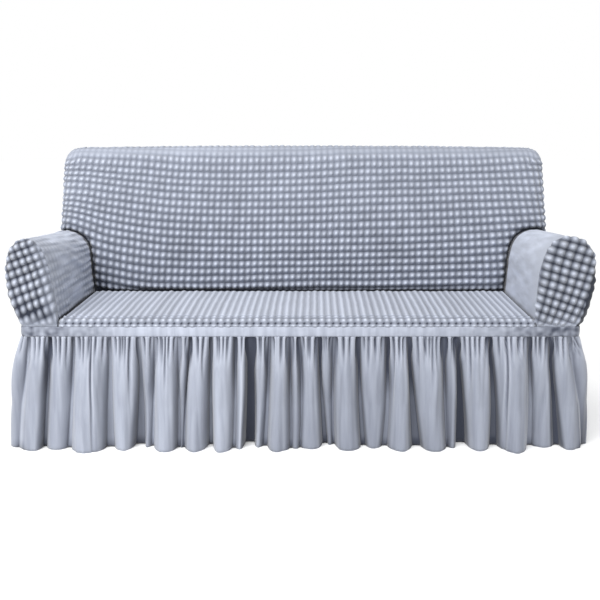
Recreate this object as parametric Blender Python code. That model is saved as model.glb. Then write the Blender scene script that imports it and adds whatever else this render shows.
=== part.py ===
"""Fitted sofa slipcover: bubble-cloth panels over a hollow, a plain waistband and a gathered skirt.

Units are metres and +Z is up. The cover stands as it does on a three-seat sofa, which is not part of it.
+X runs along the sofa and -Y is its front. While a piece is worked out, y = 0 is the plane of the arm
fronts and x = 0 the middle of the seat; ORIGIN then moves it, so that the finished cover's origin is the
middle of its bounding box at floor level. Every piece is one sheet of cloth: a grid laid on a surface
that is worked out from the sizes below, and thickened inwards.
"""
import math
import random

import bmesh
import bpy
from mathutils import Vector

CLOTH = 0.0025
SEAM = 0.0004
RIM_SEAM = 0.0016
ORIGIN = Vector((-0.0022, 0.4075, 0.0))

# The back: a cushion outline with rounded top corners, rolled forward and backward to its rear seam.
BACK_LEFT = -0.956
BACK_RIGHT = 0.984
BACK_TAPER = 0.052
BACK_TOP = 1.006
BACK_CROWN = 0.009
BACK_CORNER = 0.080
BACK_FOOT_Y = 0.530
BACK_FOOT_Z = 0.449
BACK_LEAN = 0.18
BACK_BELLY = 0.008
FRONT_ROLL = (0.070, 0.055)
REAR_ROLL = (0.030, 0.030)
REAR_Y = 0.820
REAR_SEAM_Y = REAR_Y - REAR_ROLL[1]
SIDE_TAIL = 0.140

# The seat and the band below it.
SEAT_FRONT_Z = 0.445
SEAT_REAR_Z = 0.453
SEAT_CROWN = 0.006
SEAT_ROLL = 0.035
SEAT_CLEAR = 0.0016
BAND_TOP = 0.4215
BAND_BOTTOM = 0.390
BAND_PROUD = 0.002
BAND_PUFF = 0.0015
BODY_LEFT = -0.9355
BODY_RIGHT = 0.9380
BODY_CORNER = 0.030

# The arms. Each row is a point of the section, from the inner foot over the top to the outer foot:
# outward distance and height at the front, then the same at the back.
ARM_FOOT_Z = BAND_TOP + SEAM
LEFT_ARM = (
    (0.805, ARM_FOOT_Z, 0.809, ARM_FOOT_Z),
    (0.817, 0.528, 0.822, 0.528),
    (0.826, 0.584, 0.826, 0.578),
    (0.836, 0.630, 0.831, 0.613),
    (0.853, 0.678, 0.842, 0.643),
    (0.873, 0.703, 0.869, 0.670),
    (0.899, 0.715, 0.906, 0.686),
    (0.931, 0.707, 0.939, 0.685),
    (0.953, 0.688, 0.956, 0.671),
    (0.966, 0.664, 0.966, 0.653),
    (0.973, 0.633, 0.971, 0.631),
    (0.974, 0.597, 0.972, 0.598),
    (0.969, 0.554, 0.967, 0.554),
    (0.961, 0.514, 0.959, 0.514),
    (0.951, 0.480, 0.949, 0.480),
    (0.940, 0.446, 0.939, 0.446),
    (0.9355, ARM_FOOT_Z, 0.9355, ARM_FOOT_Z),
)
RIGHT_ARM = (
    (0.786, ARM_FOOT_Z, 0.804, ARM_FOOT_Z),
    (0.789, 0.528, 0.817, 0.528),
    (0.792, 0.579, 0.822, 0.577),
    (0.799, 0.628, 0.829, 0.612),
    (0.817, 0.678, 0.842, 0.646),
    (0.845, 0.711, 0.866, 0.673),
    (0.881, 0.722, 0.903, 0.690),
    (0.921, 0.715, 0.950, 0.690),
    (0.955, 0.692, 0.984, 0.671),
    (0.972, 0.664, 0.989, 0.646),
    (0.979, 0.630, 0.988, 0.619),
    (0.980, 0.589, 0.983, 0.587),
    (0.972, 0.548, 0.974, 0.548),
    (0.962, 0.509, 0.963, 0.509),
    (0.951, 0.476, 0.951, 0.476),
    (0.942, 0.446, 0.942, 0.446),
    (0.9380, ARM_FOOT_Z, 0.9380, ARM_FOOT_Z),
)
ARM_STATIONS = (0, 0.25, 0.6, 1, 1.5, 2.2, 3, 3.5, 4, 4.5, 5, 5.5, 6,
                6.5, 7, 7.5, 8, 9, 10, 11, 12, 13, 14, 15, 16)
ARM_WRAP = 8
ARM_ROWS = (0.0, 0.12, 0.35, 0.65, 1.0)
ARM_TAIL_ROWS = (0.5, 1.0)
CAP_ROLL = (0.028, 0.025)
CAP_SQUARE_REACH = 0.004
CAP_MARKS = (0.0, 0.55, 0.8, 1.0)
CAP_STRAIGHT_ROWS = 6

# The skirt. Folds hang from the band and spread to the hem; each row of a fold table is a valley, with
# its place along the band at the top, middle and hem, its floor's width at the top and the hem, how far
# the floor stands out of the band's plane at the hem, and how far the ridge after it does. In mm.
SKIRT_TOP = BAND_BOTTOM - SEAM
HEM_LIFT = 0.003
SKIRT_ROWS = (0.0, 0.07, 0.22, 0.5, 0.8, 1.0)
MIDDLE_ROW = 0.45
RIDGE_TOP = 0.004
VALLEY_TOP = -0.002
SHOULDER = 0.009
EVEN_FOLD = 0.090
CORNER_PAST = 0.023
SKIRT_SEAM = 0.006
FRONT_FOLDS = (
    # top, middle, hem, top width, hem width, floor, ridge
    (-976, -978, -980, 4, 6, 16, 63),
    (-905, -922, -930, 8, 16, 34, 36),
    (-835, -853, -874, 6, 14, -10, 22),
    (-765, -778, -796, 6, 16, 4, 57),
    (-635, -645, -658, 7, 30, -4, 34),
    (-538, -539, -550, 7, 34, -36, 2),
    (-485, -493, -506, 6, 10, -13, 50),
    (-407, -409, -414, 7, 10, 0, 6),
    (-366, -382, -397, 5, 6, 0, 48),
    (-296, -302, -307, 7, 14, -29, 51),
    (-217, -218, -226, 9, 12, 6, 21),
    (-167, -167, -173, 12, 34, -53, 0),
    (-101, -108, -120, 8, 16, -13, 44),
    (-34, -32, -31, 5, 10, 8, 15),
    (-2, 5, 0, 5, 8, 2, 17),
    (63, 73, 87, 7, 18, -40, -23),
    (114, 111, 116, 8, 8, -32, 36),
    (197, 202, 217, 7, 18, -19, 13),
    (288, 297, 289, 8, 20, -15, 40),
    (361, 377, 399, 7, 30, -15, 44),
    (482, 488, 503, 8, 8, -2, 6),
    (529, 534, 538, 8, 36, -53, 40),
    (632, 642, 649, 8, 26, -23, 58),
    (762, 770, 774, 8, 22, -23, 2),
    (832, 848, 868, 7, 20, -23, 27),
    (895, 915, 928, 7, 16, 31, 56),
    (978, 980, 982, 4, 6, 16, 0),
)

BUBBLE_GREY = (0.375, 0.410, 0.490)
PLAIN_GREY = (0.470, 0.510, 0.600)


def clear_scene():
    """Remove every object that is there."""
    for existing in list(bpy.data.objects):
        bpy.data.objects.remove(existing, do_unlink=True)


def cloth_material(name, colour):
    """A matt woven finish."""
    material = bpy.data.materials.new(name)
    material.use_nodes = True
    shader = material.node_tree.nodes["Principled BSDF"]
    shader.inputs["Base Color"].default_value = (*colour, 1.0)
    shader.inputs["Roughness"].default_value = 0.9
    shader.inputs["Metallic"].default_value = 0.0
    return material


def mix(start, end, share):
    """The value that lies `share` of the way from start to end."""
    return start + (end - start) * share


def spread(start, end, count):
    """`count` + 1 even values from start to end."""
    return [mix(start, end, step / count) for step in range(count + 1)]


def read_at(marks, place):
    """The value of a list at a place between two of its items."""
    low = min(max(int(place), 0), len(marks) - 2)
    return mix(marks[low], marks[low + 1], place - low)


def smooth_row(rows, place):
    """A row of a table at a place between its rows, on a smooth curve through them all."""
    low = min(max(int(place), 0), len(rows) - 2)
    share = place - low
    before = rows[max(low - 1, 0)]
    after = rows[min(low + 2, len(rows) - 1)]
    values = []
    for a, b, c, d in zip(before, rows[low], rows[low + 1], after):
        bend = 2 * a - 5 * b + 4 * c - d
        turn = 3 * b - a - 3 * c + d
        values.append(b + 0.5 * share * (c - a + share * (bend + share * turn)))
    return values


def sheet(name, columns, rows, surface, material, outside, keep=None):
    """One sheet of cloth on `surface`, a function of a column and a row, thickened inwards.

    `outside` is +1 where columns and then rows turn anticlockwise seen from outside, and -1 where they
    turn the other way. `keep` says which points stay, by column and row.
    """
    grid = bmesh.new()
    bmesh.ops.create_grid(grid, x_segments=len(columns) - 1, y_segments=len(rows) - 1, size=1.0)
    dropped = []
    for vert in grid.verts:
        column = round((vert.co.x + 1) / 2 * (len(columns) - 1))
        row = round((vert.co.y + 1) / 2 * (len(rows) - 1))
        if keep and not keep(columns[column], rows[row]):
            dropped.append(vert)
            continue
        vert.co = surface(columns[column], rows[row]) - ORIGIN
    bmesh.ops.delete(grid, geom=dropped, context="VERTS")
    bmesh.ops.remove_doubles(grid, verts=grid.verts, dist=0.00001)
    if outside < 0:
        bmesh.ops.reverse_faces(grid, faces=grid.faces)
    mesh = bpy.data.meshes.new(name)
    grid.to_mesh(mesh)
    grid.free()
    mesh.shade_smooth()
    mesh.materials.append(material)
    piece = bpy.data.objects.new(name, mesh)
    bpy.context.scene.collection.objects.link(piece)
    wall = piece.modifiers.new("Cloth thickness", "SOLIDIFY")
    wall.thickness = CLOTH
    wall.offset = -1.0
    wall.use_even_offset = False
    return piece


# Rolled edges -------------------------------------------------------------------------------------

def roll_length(roll):
    """Cloth that a quarter turn of a roll takes up."""
    return math.pi / 2 * math.sqrt((roll[0] ** 2 + roll[1] ** 2) / 2)


def rolled(distance, flat, roll):
    """How far out, and how deep, a point lies after a walk over a flat stretch and round a roll.

    The third value is the walk that is left after the roll.
    """
    if distance <= flat:
        return distance, 0.0, 0.0
    length = roll_length(roll)
    turn = min((distance - flat) / length, 1.0) * math.pi / 2
    left = max(distance - flat - length, 0.0)
    return flat + roll[0] * math.sin(turn), roll[1] * (1 - math.cos(turn)), left


def walk_to(reach, flat, roll):
    """The walk after which rolled() lies `reach` out."""
    if reach <= flat:
        return reach
    turn = math.asin(min((reach - flat) / roll[0], 1.0))
    return flat + roll_length(roll) * turn / (math.pi / 2)


def around_corner(across, up):
    """Walk from a corner's centre and its direction, so that squares turn into rings."""
    walk = max(abs(across), up)
    if walk <= 0:
        return 0.0, 1.0, 0.0
    if abs(across) >= up:
        angle = math.pi / 4 * up / abs(across)
    else:
        angle = math.pi / 2 - math.pi / 4 * abs(across) / up
    return walk, math.copysign(math.cos(angle), across), math.sin(angle)


def narrowed(x, z):
    """Place across the back, whose sides lean in above the arms."""
    return x * (1 - BACK_TAPER * max(z - LEFT_ARM[ARM_WRAP][3], 0.0))


def crown(x, z):
    """Rise of the back's top edge towards its middle."""
    return BACK_CROWN * max(0.0, 1 - (x / BACK_RIGHT) ** 2) * (z / BACK_TOP) ** 4


# Back and rear ------------------------------------------------------------------------------------

def back_face_y(x, z):
    """The leaning front face of the back, a little full in its middle."""
    share = min(max((z - BACK_FOOT_Z) / (BACK_TOP - BACK_FOOT_Z), 0.0), 1.0)
    belly = BACK_BELLY * math.sin(math.pi * share) * max(0.0, 1 - (x / BACK_RIGHT) ** 2)
    return BACK_FOOT_Y + BACK_LEAN * (z - BACK_FOOT_Z) - belly


def back_point(across, up):
    """The back panel's surface at a walk across and up its cloth."""
    middle_x = min(max(across, BACK_LEFT + BACK_CORNER), BACK_RIGHT - BACK_CORNER)
    middle_z = min(up, BACK_TOP - BACK_CORNER)
    walk, out_x, out_z = around_corner(across - middle_x, up - middle_z)
    reach, depth, left = rolled(walk, BACK_CORNER - FRONT_ROLL[0], FRONT_ROLL)
    x = middle_x + out_x * reach * (walk > 0)
    z = middle_z + out_z * reach
    y = back_face_y(x, z) + depth
    y = mix(y, REAR_SEAM_Y, min(left / SIDE_TAIL, 1.0))
    return Vector((narrowed(x, z), y, z + crown(x, z)))


def arm_surface_end(x, z):
    """Where the back panel stands at a point of its outline: the arm panels end just there."""
    inside = min(x - BACK_LEFT, BACK_RIGHT - x)
    walk = walk_to(BACK_CORNER - inside, BACK_CORNER - FRONT_ROLL[0], FRONT_ROLL)
    depth = rolled(max(walk, 0.0), BACK_CORNER - FRONT_ROLL[0], FRONT_ROLL)[1]
    return back_face_y(x, z) + depth


def back_columns():
    """Columns of the back panel, each with the height at which it starts."""
    flat = BACK_CORNER - FRONT_ROLL[0]
    columns = []
    for table, side, edge in ((LEFT_ARM, -1, BACK_LEFT), (RIGHT_ARM, 1, BACK_RIGHT)):
        skeleton = edge - side * BACK_CORNER
        for station in ARM_STATIONS:
            if station > ARM_WRAP:
                continue
            x, z = arm_seam_point(table, station)
            reach = x - side * skeleton
            walk = walk_to(reach, flat, FRONT_ROLL) if reach > 0 else reach
            columns.append((skeleton + side * walk, z))
        wrap = arm_section(table, ARM_WRAP, 1.0)[1] + SEAM
        for share in (0.5, 1.0):
            walk = flat + roll_length(FRONT_ROLL) + share * SIDE_TAIL
            columns.append((skeleton + side * walk, wrap))
    for x in spread(-0.60, 0.60, 6):
        columns.append((x, BACK_FOOT_Z))
    columns.sort()
    return columns


def back_rows():
    """Rows of the back panel: shares of the face, then walks past its top."""
    flat = BACK_CORNER - FRONT_ROLL[0]
    length = roll_length(FRONT_ROLL)
    walks = [flat + length * share for share in (0.0, 0.25, 0.5, 0.75, 1.0)]
    walks += [flat + length + SIDE_TAIL * share for share in (0.5, 1.0)]
    return [("face", share) for share in (0.0, 0.25, 0.5, 0.75, 1.0)] + [("past", walk) for walk in walks]


def back_panel(material):
    """Front face of the back, with its rolled top and sides, down to the arms and the seat."""
    shoulder = BACK_TOP - BACK_CORNER

    def surface(column, row):
        across, foot = column
        kind, amount = row
        if kind == "face":
            return back_point(across, mix(foot, shoulder, amount))
        return back_point(across, shoulder + amount)

    return sheet("back_panel", back_columns(), back_rows(), surface, material, outside=1)


def rear_panel(material):
    """Rear face, with the rolled rim that meets the back and arm panels, down to the band."""
    flat = BACK_CORNER - REAR_ROLL[0]
    walks = [flat + roll_length(REAR_ROLL) * share for share in (0.0, 0.5, 1.0)]
    columns = [("left", walk) for walk in reversed(walks)]
    columns += [("face", share) for share in spread(0.0, 1.0, 8)]
    columns += [("right", walk) for walk in walks]
    rows = [("arm", station) for station in (16, 15, 14, 13, 12, 11, 10, 9, 8)]
    rows += [("face", share) for share in (0.5, 1.0)]
    rows += [("past", walk) for walk in walks]

    def outline(row):
        kind, amount = row
        if kind == "arm":
            left_x, left_z = arm_section(LEFT_ARM, amount, 1.0)
            right_x, right_z = arm_section(RIGHT_ARM, amount, 1.0)
            return -left_x, left_z, right_x, right_z
        if kind == "face":
            z = mix(LEFT_ARM[ARM_WRAP][3], BACK_TOP - BACK_CORNER, amount)
            return BACK_LEFT, z, BACK_RIGHT, z
        z = BACK_TOP - BACK_CORNER + amount
        return BACK_LEFT, z, BACK_RIGHT, z

    def surface(column, row):
        left_x, left_z, right_x, right_z = outline(row)
        kind, amount = column
        share = amount if kind == "face" else float(kind == "right")
        middle_x = mix(left_x + BACK_CORNER, right_x - BACK_CORNER, share)
        across = {"left": -amount, "face": 0.0, "right": amount}[kind]
        up = mix(left_z, right_z, share)
        middle_z = min(up, BACK_TOP - BACK_CORNER)
        walk, out_x, out_z = around_corner(across, up - middle_z)
        reach, depth, _ = rolled(walk, flat, REAR_ROLL)
        x = middle_x + out_x * reach * (walk > 0)
        z = middle_z + out_z * reach
        y = max(REAR_Y - depth, REAR_SEAM_Y + RIM_SEAM)
        return Vector((narrowed(x, z), y, z + crown(x, z)))

    return sheet("rear_panel", columns, rows, surface, material, outside=-1)


# Arms ---------------------------------------------------------------------------------------------

def arm_section(table, station, share):
    """Outward distance and height of an arm's section, `share` of the way from front to back."""
    front_x, front_z, back_x, back_z = smooth_row(table, station)
    return mix(front_x, back_x, share), mix(front_z, back_z, share)


def arm_seam_point(table, station):
    """The back panel's outline along an arm: a seam's width outside the arm's own section."""
    x, z = arm_section(table, station, 1.0)
    ahead = arm_section(table, min(station + 0.05, len(table) - 1), 1.0)
    behind = arm_section(table, max(station - 0.05, 0), 1.0)
    run_x = ahead[0] - behind[0]
    run_z = ahead[1] - behind[1]
    length = math.hypot(run_x, run_z)
    return x - SEAM * run_z / length, z + SEAM * run_x / length


def arm_panel(name, table, side, material):
    """Inner side, top and outer side of an arm, and its outer side's run back to the rear seam."""
    rows = [("arm", share) for share in ARM_ROWS] + [("tail", share) for share in ARM_TAIL_ROWS]
    front = CAP_ROLL[1] + RIM_SEAM

    def surface(station, row):
        kind, share = row
        end_x, end_z = arm_section(table, station, 1.0)
        wrap_x, wrap_z = arm_section(table, min(station, ARM_WRAP), 1.0)
        end_y = arm_surface_end(side * wrap_x, wrap_z)
        if kind == "tail":
            return Vector((side * end_x, mix(end_y, REAR_SEAM_Y, share), end_z))
        x, z = arm_section(table, station, share)
        return Vector((side * x, mix(front, end_y, share), z))

    def keep(station, row):
        return row[0] == "arm" or station >= ARM_WRAP

    return sheet(name, ARM_STATIONS, rows, surface, material, outside=side, keep=keep)


def arm_front(name, table, side, material):
    """Domed end panel of an arm, its rim rolled back to the arm panel."""
    across = [-mark for mark in reversed(CAP_MARKS[1:])] + list(CAP_MARKS)
    rows = [("straight", row) for row in range(CAP_STRAIGHT_ROWS)] + [("round", mark) for mark in CAP_MARKS]
    turns = len(CAP_MARKS) - 1
    top = 2 * turns

    def rim(place):
        return arm_section(table, read_at(ARM_STATIONS, place), 0.0)

    def marks_at(mark):
        """Steps that a mark lies along CAP_MARKS."""
        for step in range(turns):
            if mark <= CAP_MARKS[step + 1]:
                return step + (mark - CAP_MARKS[step]) / (CAP_MARKS[step + 1] - CAP_MARKS[step])
        return float(turns)

    def surface(column, row):
        kind, amount = row
        level = amount if kind == "straight" else CAP_STRAIGHT_ROWS
        last = len(ARM_STATIONS) - 1
        inner = rim(level)
        outer = rim(last - level)
        middle_x = (inner[0] + outer[0]) / 2
        middle_z = (inner[1] + outer[1]) / 2
        up = amount if kind == "round" else 0.0
        walk = max(abs(column), up)
        if abs(column) >= up:
            rise = marks_at(up / walk) if walk else 0.0
            place = level + rise if column <= 0 else last - level - rise
        else:
            shift = marks_at(abs(column) / walk) / turns * (top / 2)
            place = CAP_STRAIGHT_ROWS + turns + top / 2 + math.copysign(shift, column)
        rim_x, rim_z = rim(place)
        size = math.hypot(rim_x - middle_x, rim_z - middle_z)
        square = min(max(1 - (read_at(ARM_STATIONS, place) - 0.4) / 0.6, 0.0), 1.0)
        roll = (mix(CAP_ROLL[0], CAP_SQUARE_REACH, square), CAP_ROLL[1])
        length = size - roll[0] + roll_length(roll)
        reach, depth, _ = rolled(walk * length, size - roll[0], roll)
        x = mix(middle_x, rim_x, reach / size)
        z = mix(middle_z, rim_z, reach / size)
        return Vector((side * x, depth, z))

    return sheet(name, across, rows, surface, material, outside=side)


# Seat and band ------------------------------------------------------------------------------------

def seat_edge(table, y, z):
    """Outward distance at which the seat meets an arm."""
    front = CAP_ROLL[1] + RIM_SEAM
    share = min(max((y - front) / (BACK_FOOT_Y - front), 0.0), 1.0)
    foot_x, foot_z = arm_section(table, 0, share)
    next_x, next_z = arm_section(table, 0.5, share)
    return mix(foot_x, next_x, max(z - foot_z, 0.0) / (next_z - foot_z)) - 2 * SEAM


def seat_panel(material):
    """Seat top, its front roll and the short drop to the band."""
    rise = SEAT_FRONT_Z - BAND_TOP - SEAM
    rows = [("drop", share) for share in (0.0, 0.25, 0.5, 0.75)]
    rows += [("top", share) for share in (0.0, 0.12, 0.35, 0.65, 1.0)]

    def surface(across, row):
        kind, share = row
        if kind == "drop":
            turn = share * math.pi / 2
            y = SEAT_ROLL * (1 - math.cos(turn))
            z = BAND_TOP + SEAM + rise * math.sin(turn)
        else:
            y = mix(SEAT_ROLL, back_face_y(0.0, SEAT_REAR_Z) - SEAT_CLEAR, share)
            crown_share = math.sin(math.pi * share) * (1 - across ** 2)
            z = mix(SEAT_FRONT_Z, SEAT_REAR_Z, share) + SEAT_CROWN * crown_share
        left = -seat_edge(LEFT_ARM, y, z)
        right = seat_edge(RIGHT_ARM, y, z)
        return Vector((mix(left, right, (across + 1) / 2), y, z))

    return sheet("seat_panel", spread(-1.0, 1.0, 10), rows, surface, material, outside=1)


def body_outline(walk):
    """Point and outward direction on the body's plan, a walk anticlockwise from the front's middle."""
    arc = BODY_CORNER * math.pi / 2
    right = BODY_RIGHT - BODY_CORNER
    left = BODY_LEFT + BODY_CORNER
    rear = REAR_Y - BODY_CORNER
    legs = (
        (0.0, 0.0, 0, right, right, BODY_CORNER),
        (BODY_RIGHT, BODY_CORNER, 90, rear - BODY_CORNER, right, rear),
        (right, REAR_Y, 180, right - left, left, rear),
        (BODY_LEFT, rear, 270, rear - BODY_CORNER, left, BODY_CORNER),
        (left, 0.0, 360, -left, 0.0, 0.0),
    )
    walk %= sum(leg[3] for leg in legs) + 4 * arc
    for start_x, start_y, heading, length, centre_x, centre_y in legs:
        angle = math.radians(heading)
        if walk <= length or heading == 360:
            point = Vector((start_x + walk * math.cos(angle), start_y + walk * math.sin(angle), 0.0))
            return point, Vector((math.sin(angle), -math.cos(angle), 0.0))
        walk -= length
        if walk <= arc:
            angle += walk / BODY_CORNER
            outward = Vector((math.sin(angle), -math.cos(angle), 0.0))
            return Vector((centre_x, centre_y, 0.0)) + BODY_CORNER * outward, outward
        walk -= arc
    return point, outward


def body_walks():
    """Walks to the ends of the four corner arcs, in order."""
    arc = BODY_CORNER * math.pi / 2
    depth = REAR_Y - 2 * BODY_CORNER
    right = BODY_RIGHT - BODY_CORNER
    width = BODY_RIGHT - BODY_LEFT - 2 * BODY_CORNER
    first = (right, right + arc)
    second = (first[1] + depth, first[1] + depth + arc)
    third = (second[1] + width, second[1] + width + arc)
    fourth = (third[1] + depth, third[1] + depth + arc)
    return first, second, third, fourth


def waistband(material):
    """Plain strip right round the cover."""
    walks = [0.0]
    for start, end in body_walks():
        walks += spread(walks[-1], start, 4)[1:]
        walks += spread(start, end, 4)[1:]
    walks += spread(walks[-1], walks[-1] - BODY_LEFT - BODY_CORNER, 3)[1:]
    rows = (0.0, 0.25, 0.75, 1.0)

    def surface(walk, row):
        point, outward = body_outline(walk)
        puff = BAND_PROUD + BAND_PUFF * math.sin(math.pi * row)
        return point + outward * puff + Vector((0.0, 0.0, mix(BAND_BOTTOM, BAND_TOP, row)))

    return sheet("waistband", walks, rows, surface, material, outside=1)


# Skirt --------------------------------------------------------------------------------------------

def even_folds(start, end, ridge, seed):
    """A fold table for a side that hangs plainly, its pitch and depth a little uneven."""
    chance = random.Random(seed)
    count = round((end - start) / EVEN_FOLD)
    rows = []
    for step in range(count + 1):
        place = 1000 * mix(start, end, step / count)
        inner = 0 < step < count
        top = place + inner * chance.uniform(-9, 9)
        hem = place + inner * chance.uniform(-12, 12)
        floor = chance.uniform(-26, -12) if inner else 2
        height = ridge + chance.uniform(-5, 5) * (0 < step < count - 1)
        rows.append((top, (top + hem) / 2, hem, 7, chance.uniform(12, 26) if inner else 6, floor, height))
    return rows


def fold_place(top, middle, hem, drop):
    """Place of a valley at a share of the drop: a smooth curve through its three places."""
    first = (drop - MIDDLE_ROW) * (drop - 1) / MIDDLE_ROW
    second = drop * (1 - drop) / (MIDDLE_ROW * (1 - MIDDLE_ROW))
    third = drop * (drop - MIDDLE_ROW) / (1 - MIDDLE_ROW)
    return top * first + middle * second + hem * third


def valley(row, drop):
    """Left edge, right edge and floor of a valley, in metres."""
    top, middle, hem, top_width, hem_width, floor, _ = row
    place = fold_place(top, middle, hem, drop)
    half = mix(top_width, hem_width, drop ** 1.3) / 2
    shoulder = SHOULDER * math.sin(math.pi * min(drop / 0.6, 1.0))
    depth = VALLEY_TOP - shoulder * 0.7 + (floor / 1000 - VALLEY_TOP) * drop
    return (place - half) / 1000, (place + half) / 1000, depth


def fold_points(folds):
    """Columns of a skirt: which valley a point follows, and its angle over the ridge after it."""
    columns = [(0, 0.0)]
    for index in range(len(folds) - 1):
        wide = folds[index + 1][2] - folds[index][2] > 45
        angles = (30, 70, 110, 150, 180) if wide else (60, 120, 180)
        columns += [(index, math.radians(angle)) for angle in angles]
        if index < len(folds) - 2:
            columns.append((index + 1, 0.0))
    return columns


def skirt_point(folds, column, drop):
    """The skirt's surface over one ridge, at a share of the drop."""
    index, angle = column
    _, start, floor = valley(folds[index], drop)
    end, _, next_floor = valley(folds[index + 1], drop)
    rise = 1 - (1 - drop) ** 1.85
    shoulder = SHOULDER * math.sin(math.pi * min(drop / 0.6, 1.0))
    ridge = RIDGE_TOP + shoulder + (folds[index][6] / 1000 - RIDGE_TOP) * rise
    share = (1 - math.cos(angle)) / 2
    base = mix(floor, next_floor, share)
    out = mix(base, ridge, max(math.sin(angle), 0.0) ** 0.8)
    point, outward = body_outline(mix(start, end, share))
    lift = HEM_LIFT * (1 - max(math.sin(angle), 0.0)) * drop
    return point + outward * out + Vector((0.0, 0.0, mix(SKIRT_TOP, lift, drop)))


def skirt_panel(name, folds, material):
    """One length of the gathered skirt."""

    def surface(column, drop):
        return skirt_point(folds, column, drop)

    return sheet(name, fold_points(folds), SKIRT_ROWS, surface, material, outside=-1)


def skirts(material):
    """The four lengths of the skirt, which meet in valleys just round the corners."""
    walks = body_walks()
    loop = walks[3][1] - BODY_LEFT - BODY_CORNER
    skirt_panel("skirt_front", FRONT_FOLDS, material)
    right_end = walks[1][0] - CORNER_PAST
    right = even_folds(walks[0][1] + CORNER_PAST + SKIRT_SEAM, right_end, 50, seed=3)
    skirt_panel("skirt_right", right, material)
    rear_end = walks[2][1] + CORNER_PAST
    rear = even_folds(right_end + SKIRT_SEAM, rear_end, 48, seed=8)
    skirt_panel("skirt_rear", rear, material)
    left_end = walks[3][0] - CORNER_PAST - SKIRT_SEAM
    left = even_folds(rear_end + SKIRT_SEAM, left_end, 50, seed=5)
    skirt_panel("skirt_left", left, material)


def main():
    """Build every piece of the cover."""
    clear_scene()
    bubble = cloth_material("bubble_cloth", BUBBLE_GREY)
    plain = cloth_material("plain_cloth", PLAIN_GREY)
    back_panel(bubble)
    rear_panel(bubble)
    seat_panel(bubble)
    arm_panel("arm_left_panel", LEFT_ARM, -1, bubble)
    arm_panel("arm_right_panel", RIGHT_ARM, 1, bubble)
    arm_front("arm_front_left", LEFT_ARM, -1, bubble)
    arm_front("arm_front_right", RIGHT_ARM, 1, bubble)
    waistband(plain)
    skirts(plain)


main()
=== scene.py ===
"""Looks of a fitted sofa slipcover: bubble cloth over a sofa's form, a plain band, a gathered skirt.

Units are metres, +Z is up, +X runs along the sofa and -Y is its front. While a piece is worked out, y = 0
is the plane of the arm fronts and x = 0 the middle of the seat; ORIGIN then moves it into the frame.
Every piece is one sheet of cloth: a fine grid laid on the surface of its solid. Bubble cloth counts its
grid in bubbles, so that each bubble has the same few faces, and its bubbles stand along the normals.
"""
import bisect
import math
import random
from collections import namedtuple

import bmesh
import bpy
from bpy.props import FloatProperty, FloatVectorProperty, PointerProperty
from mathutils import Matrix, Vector, noise


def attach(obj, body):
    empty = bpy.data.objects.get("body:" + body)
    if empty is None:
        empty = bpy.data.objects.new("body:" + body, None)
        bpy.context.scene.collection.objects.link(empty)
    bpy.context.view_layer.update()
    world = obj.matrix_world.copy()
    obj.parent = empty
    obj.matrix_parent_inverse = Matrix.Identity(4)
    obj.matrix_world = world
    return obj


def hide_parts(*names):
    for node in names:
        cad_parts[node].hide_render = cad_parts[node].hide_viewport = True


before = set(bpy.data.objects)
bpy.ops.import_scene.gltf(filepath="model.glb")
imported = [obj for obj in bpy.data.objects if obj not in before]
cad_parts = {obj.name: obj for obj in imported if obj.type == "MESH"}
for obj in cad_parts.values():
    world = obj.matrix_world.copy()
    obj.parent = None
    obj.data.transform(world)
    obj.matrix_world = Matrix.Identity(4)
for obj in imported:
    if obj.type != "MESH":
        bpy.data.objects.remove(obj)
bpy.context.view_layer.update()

bl_info = {
    "name": "Sofa Slipcover",
    "version": (1, 0, 0),
    "blender": (4, 5, 0),
    "location": "View3D > Sidebar > Slipcover",
    "description": "Builds the cloth pieces of a fitted sofa cover with bubble cloth and a gathered skirt",
    "category": "Object",
}

# The cloth's thickness, and how far apart neighbours lie at a seam and at the arm fronts' rolled rims.
CLOTH = 0.0016
SEAM = 0.0004
RIM_SEAM = 0.0016
ORIGIN = Vector((-0.0022, 0.4075, 0.0))

# The back: its outline, its lean, its rolled edges, and how far its cloth is tucked in along the seat
# and the arms. HIDDEN is how far an edge runs on behind the next piece.
BACK_LEFT = -0.956
BACK_RIGHT = 0.984
BACK_TAPER = 0.052
BACK_TOP = 1.006
BACK_CROWN = 0.009
BACK_CORNER = 0.080
BACK_FOOT_Y = 0.530
BACK_FOOT_Z = 0.449
BACK_LEAN = 0.18
BACK_BELLY = 0.008
FRONT_ROLL = (0.070, 0.055)
REAR_ROLL = (0.030, 0.030)
REAR_Y = 0.820
REAR_SEAM_Y = REAR_Y - REAR_ROLL[1]
SIDE_TAIL = 0.140
CORNER_SQUARE = 3.2
TUCK = 0.014
HIDDEN = 0.008

# The seat and the band.
SEAT_FRONT_Z = 0.445
SEAT_REAR_Z = 0.453
SEAT_CROWN = 0.006
SEAT_ROLL = 0.035
SEAT_CLEAR = 0.0016
BAND_TOP = 0.4215
BAND_BOTTOM = 0.390
BAND_PROUD = 0.002
BAND_PUFF = 0.0015
BODY_LEFT = -0.9355
BODY_RIGHT = 0.9380
BODY_CORNER = 0.030

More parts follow.
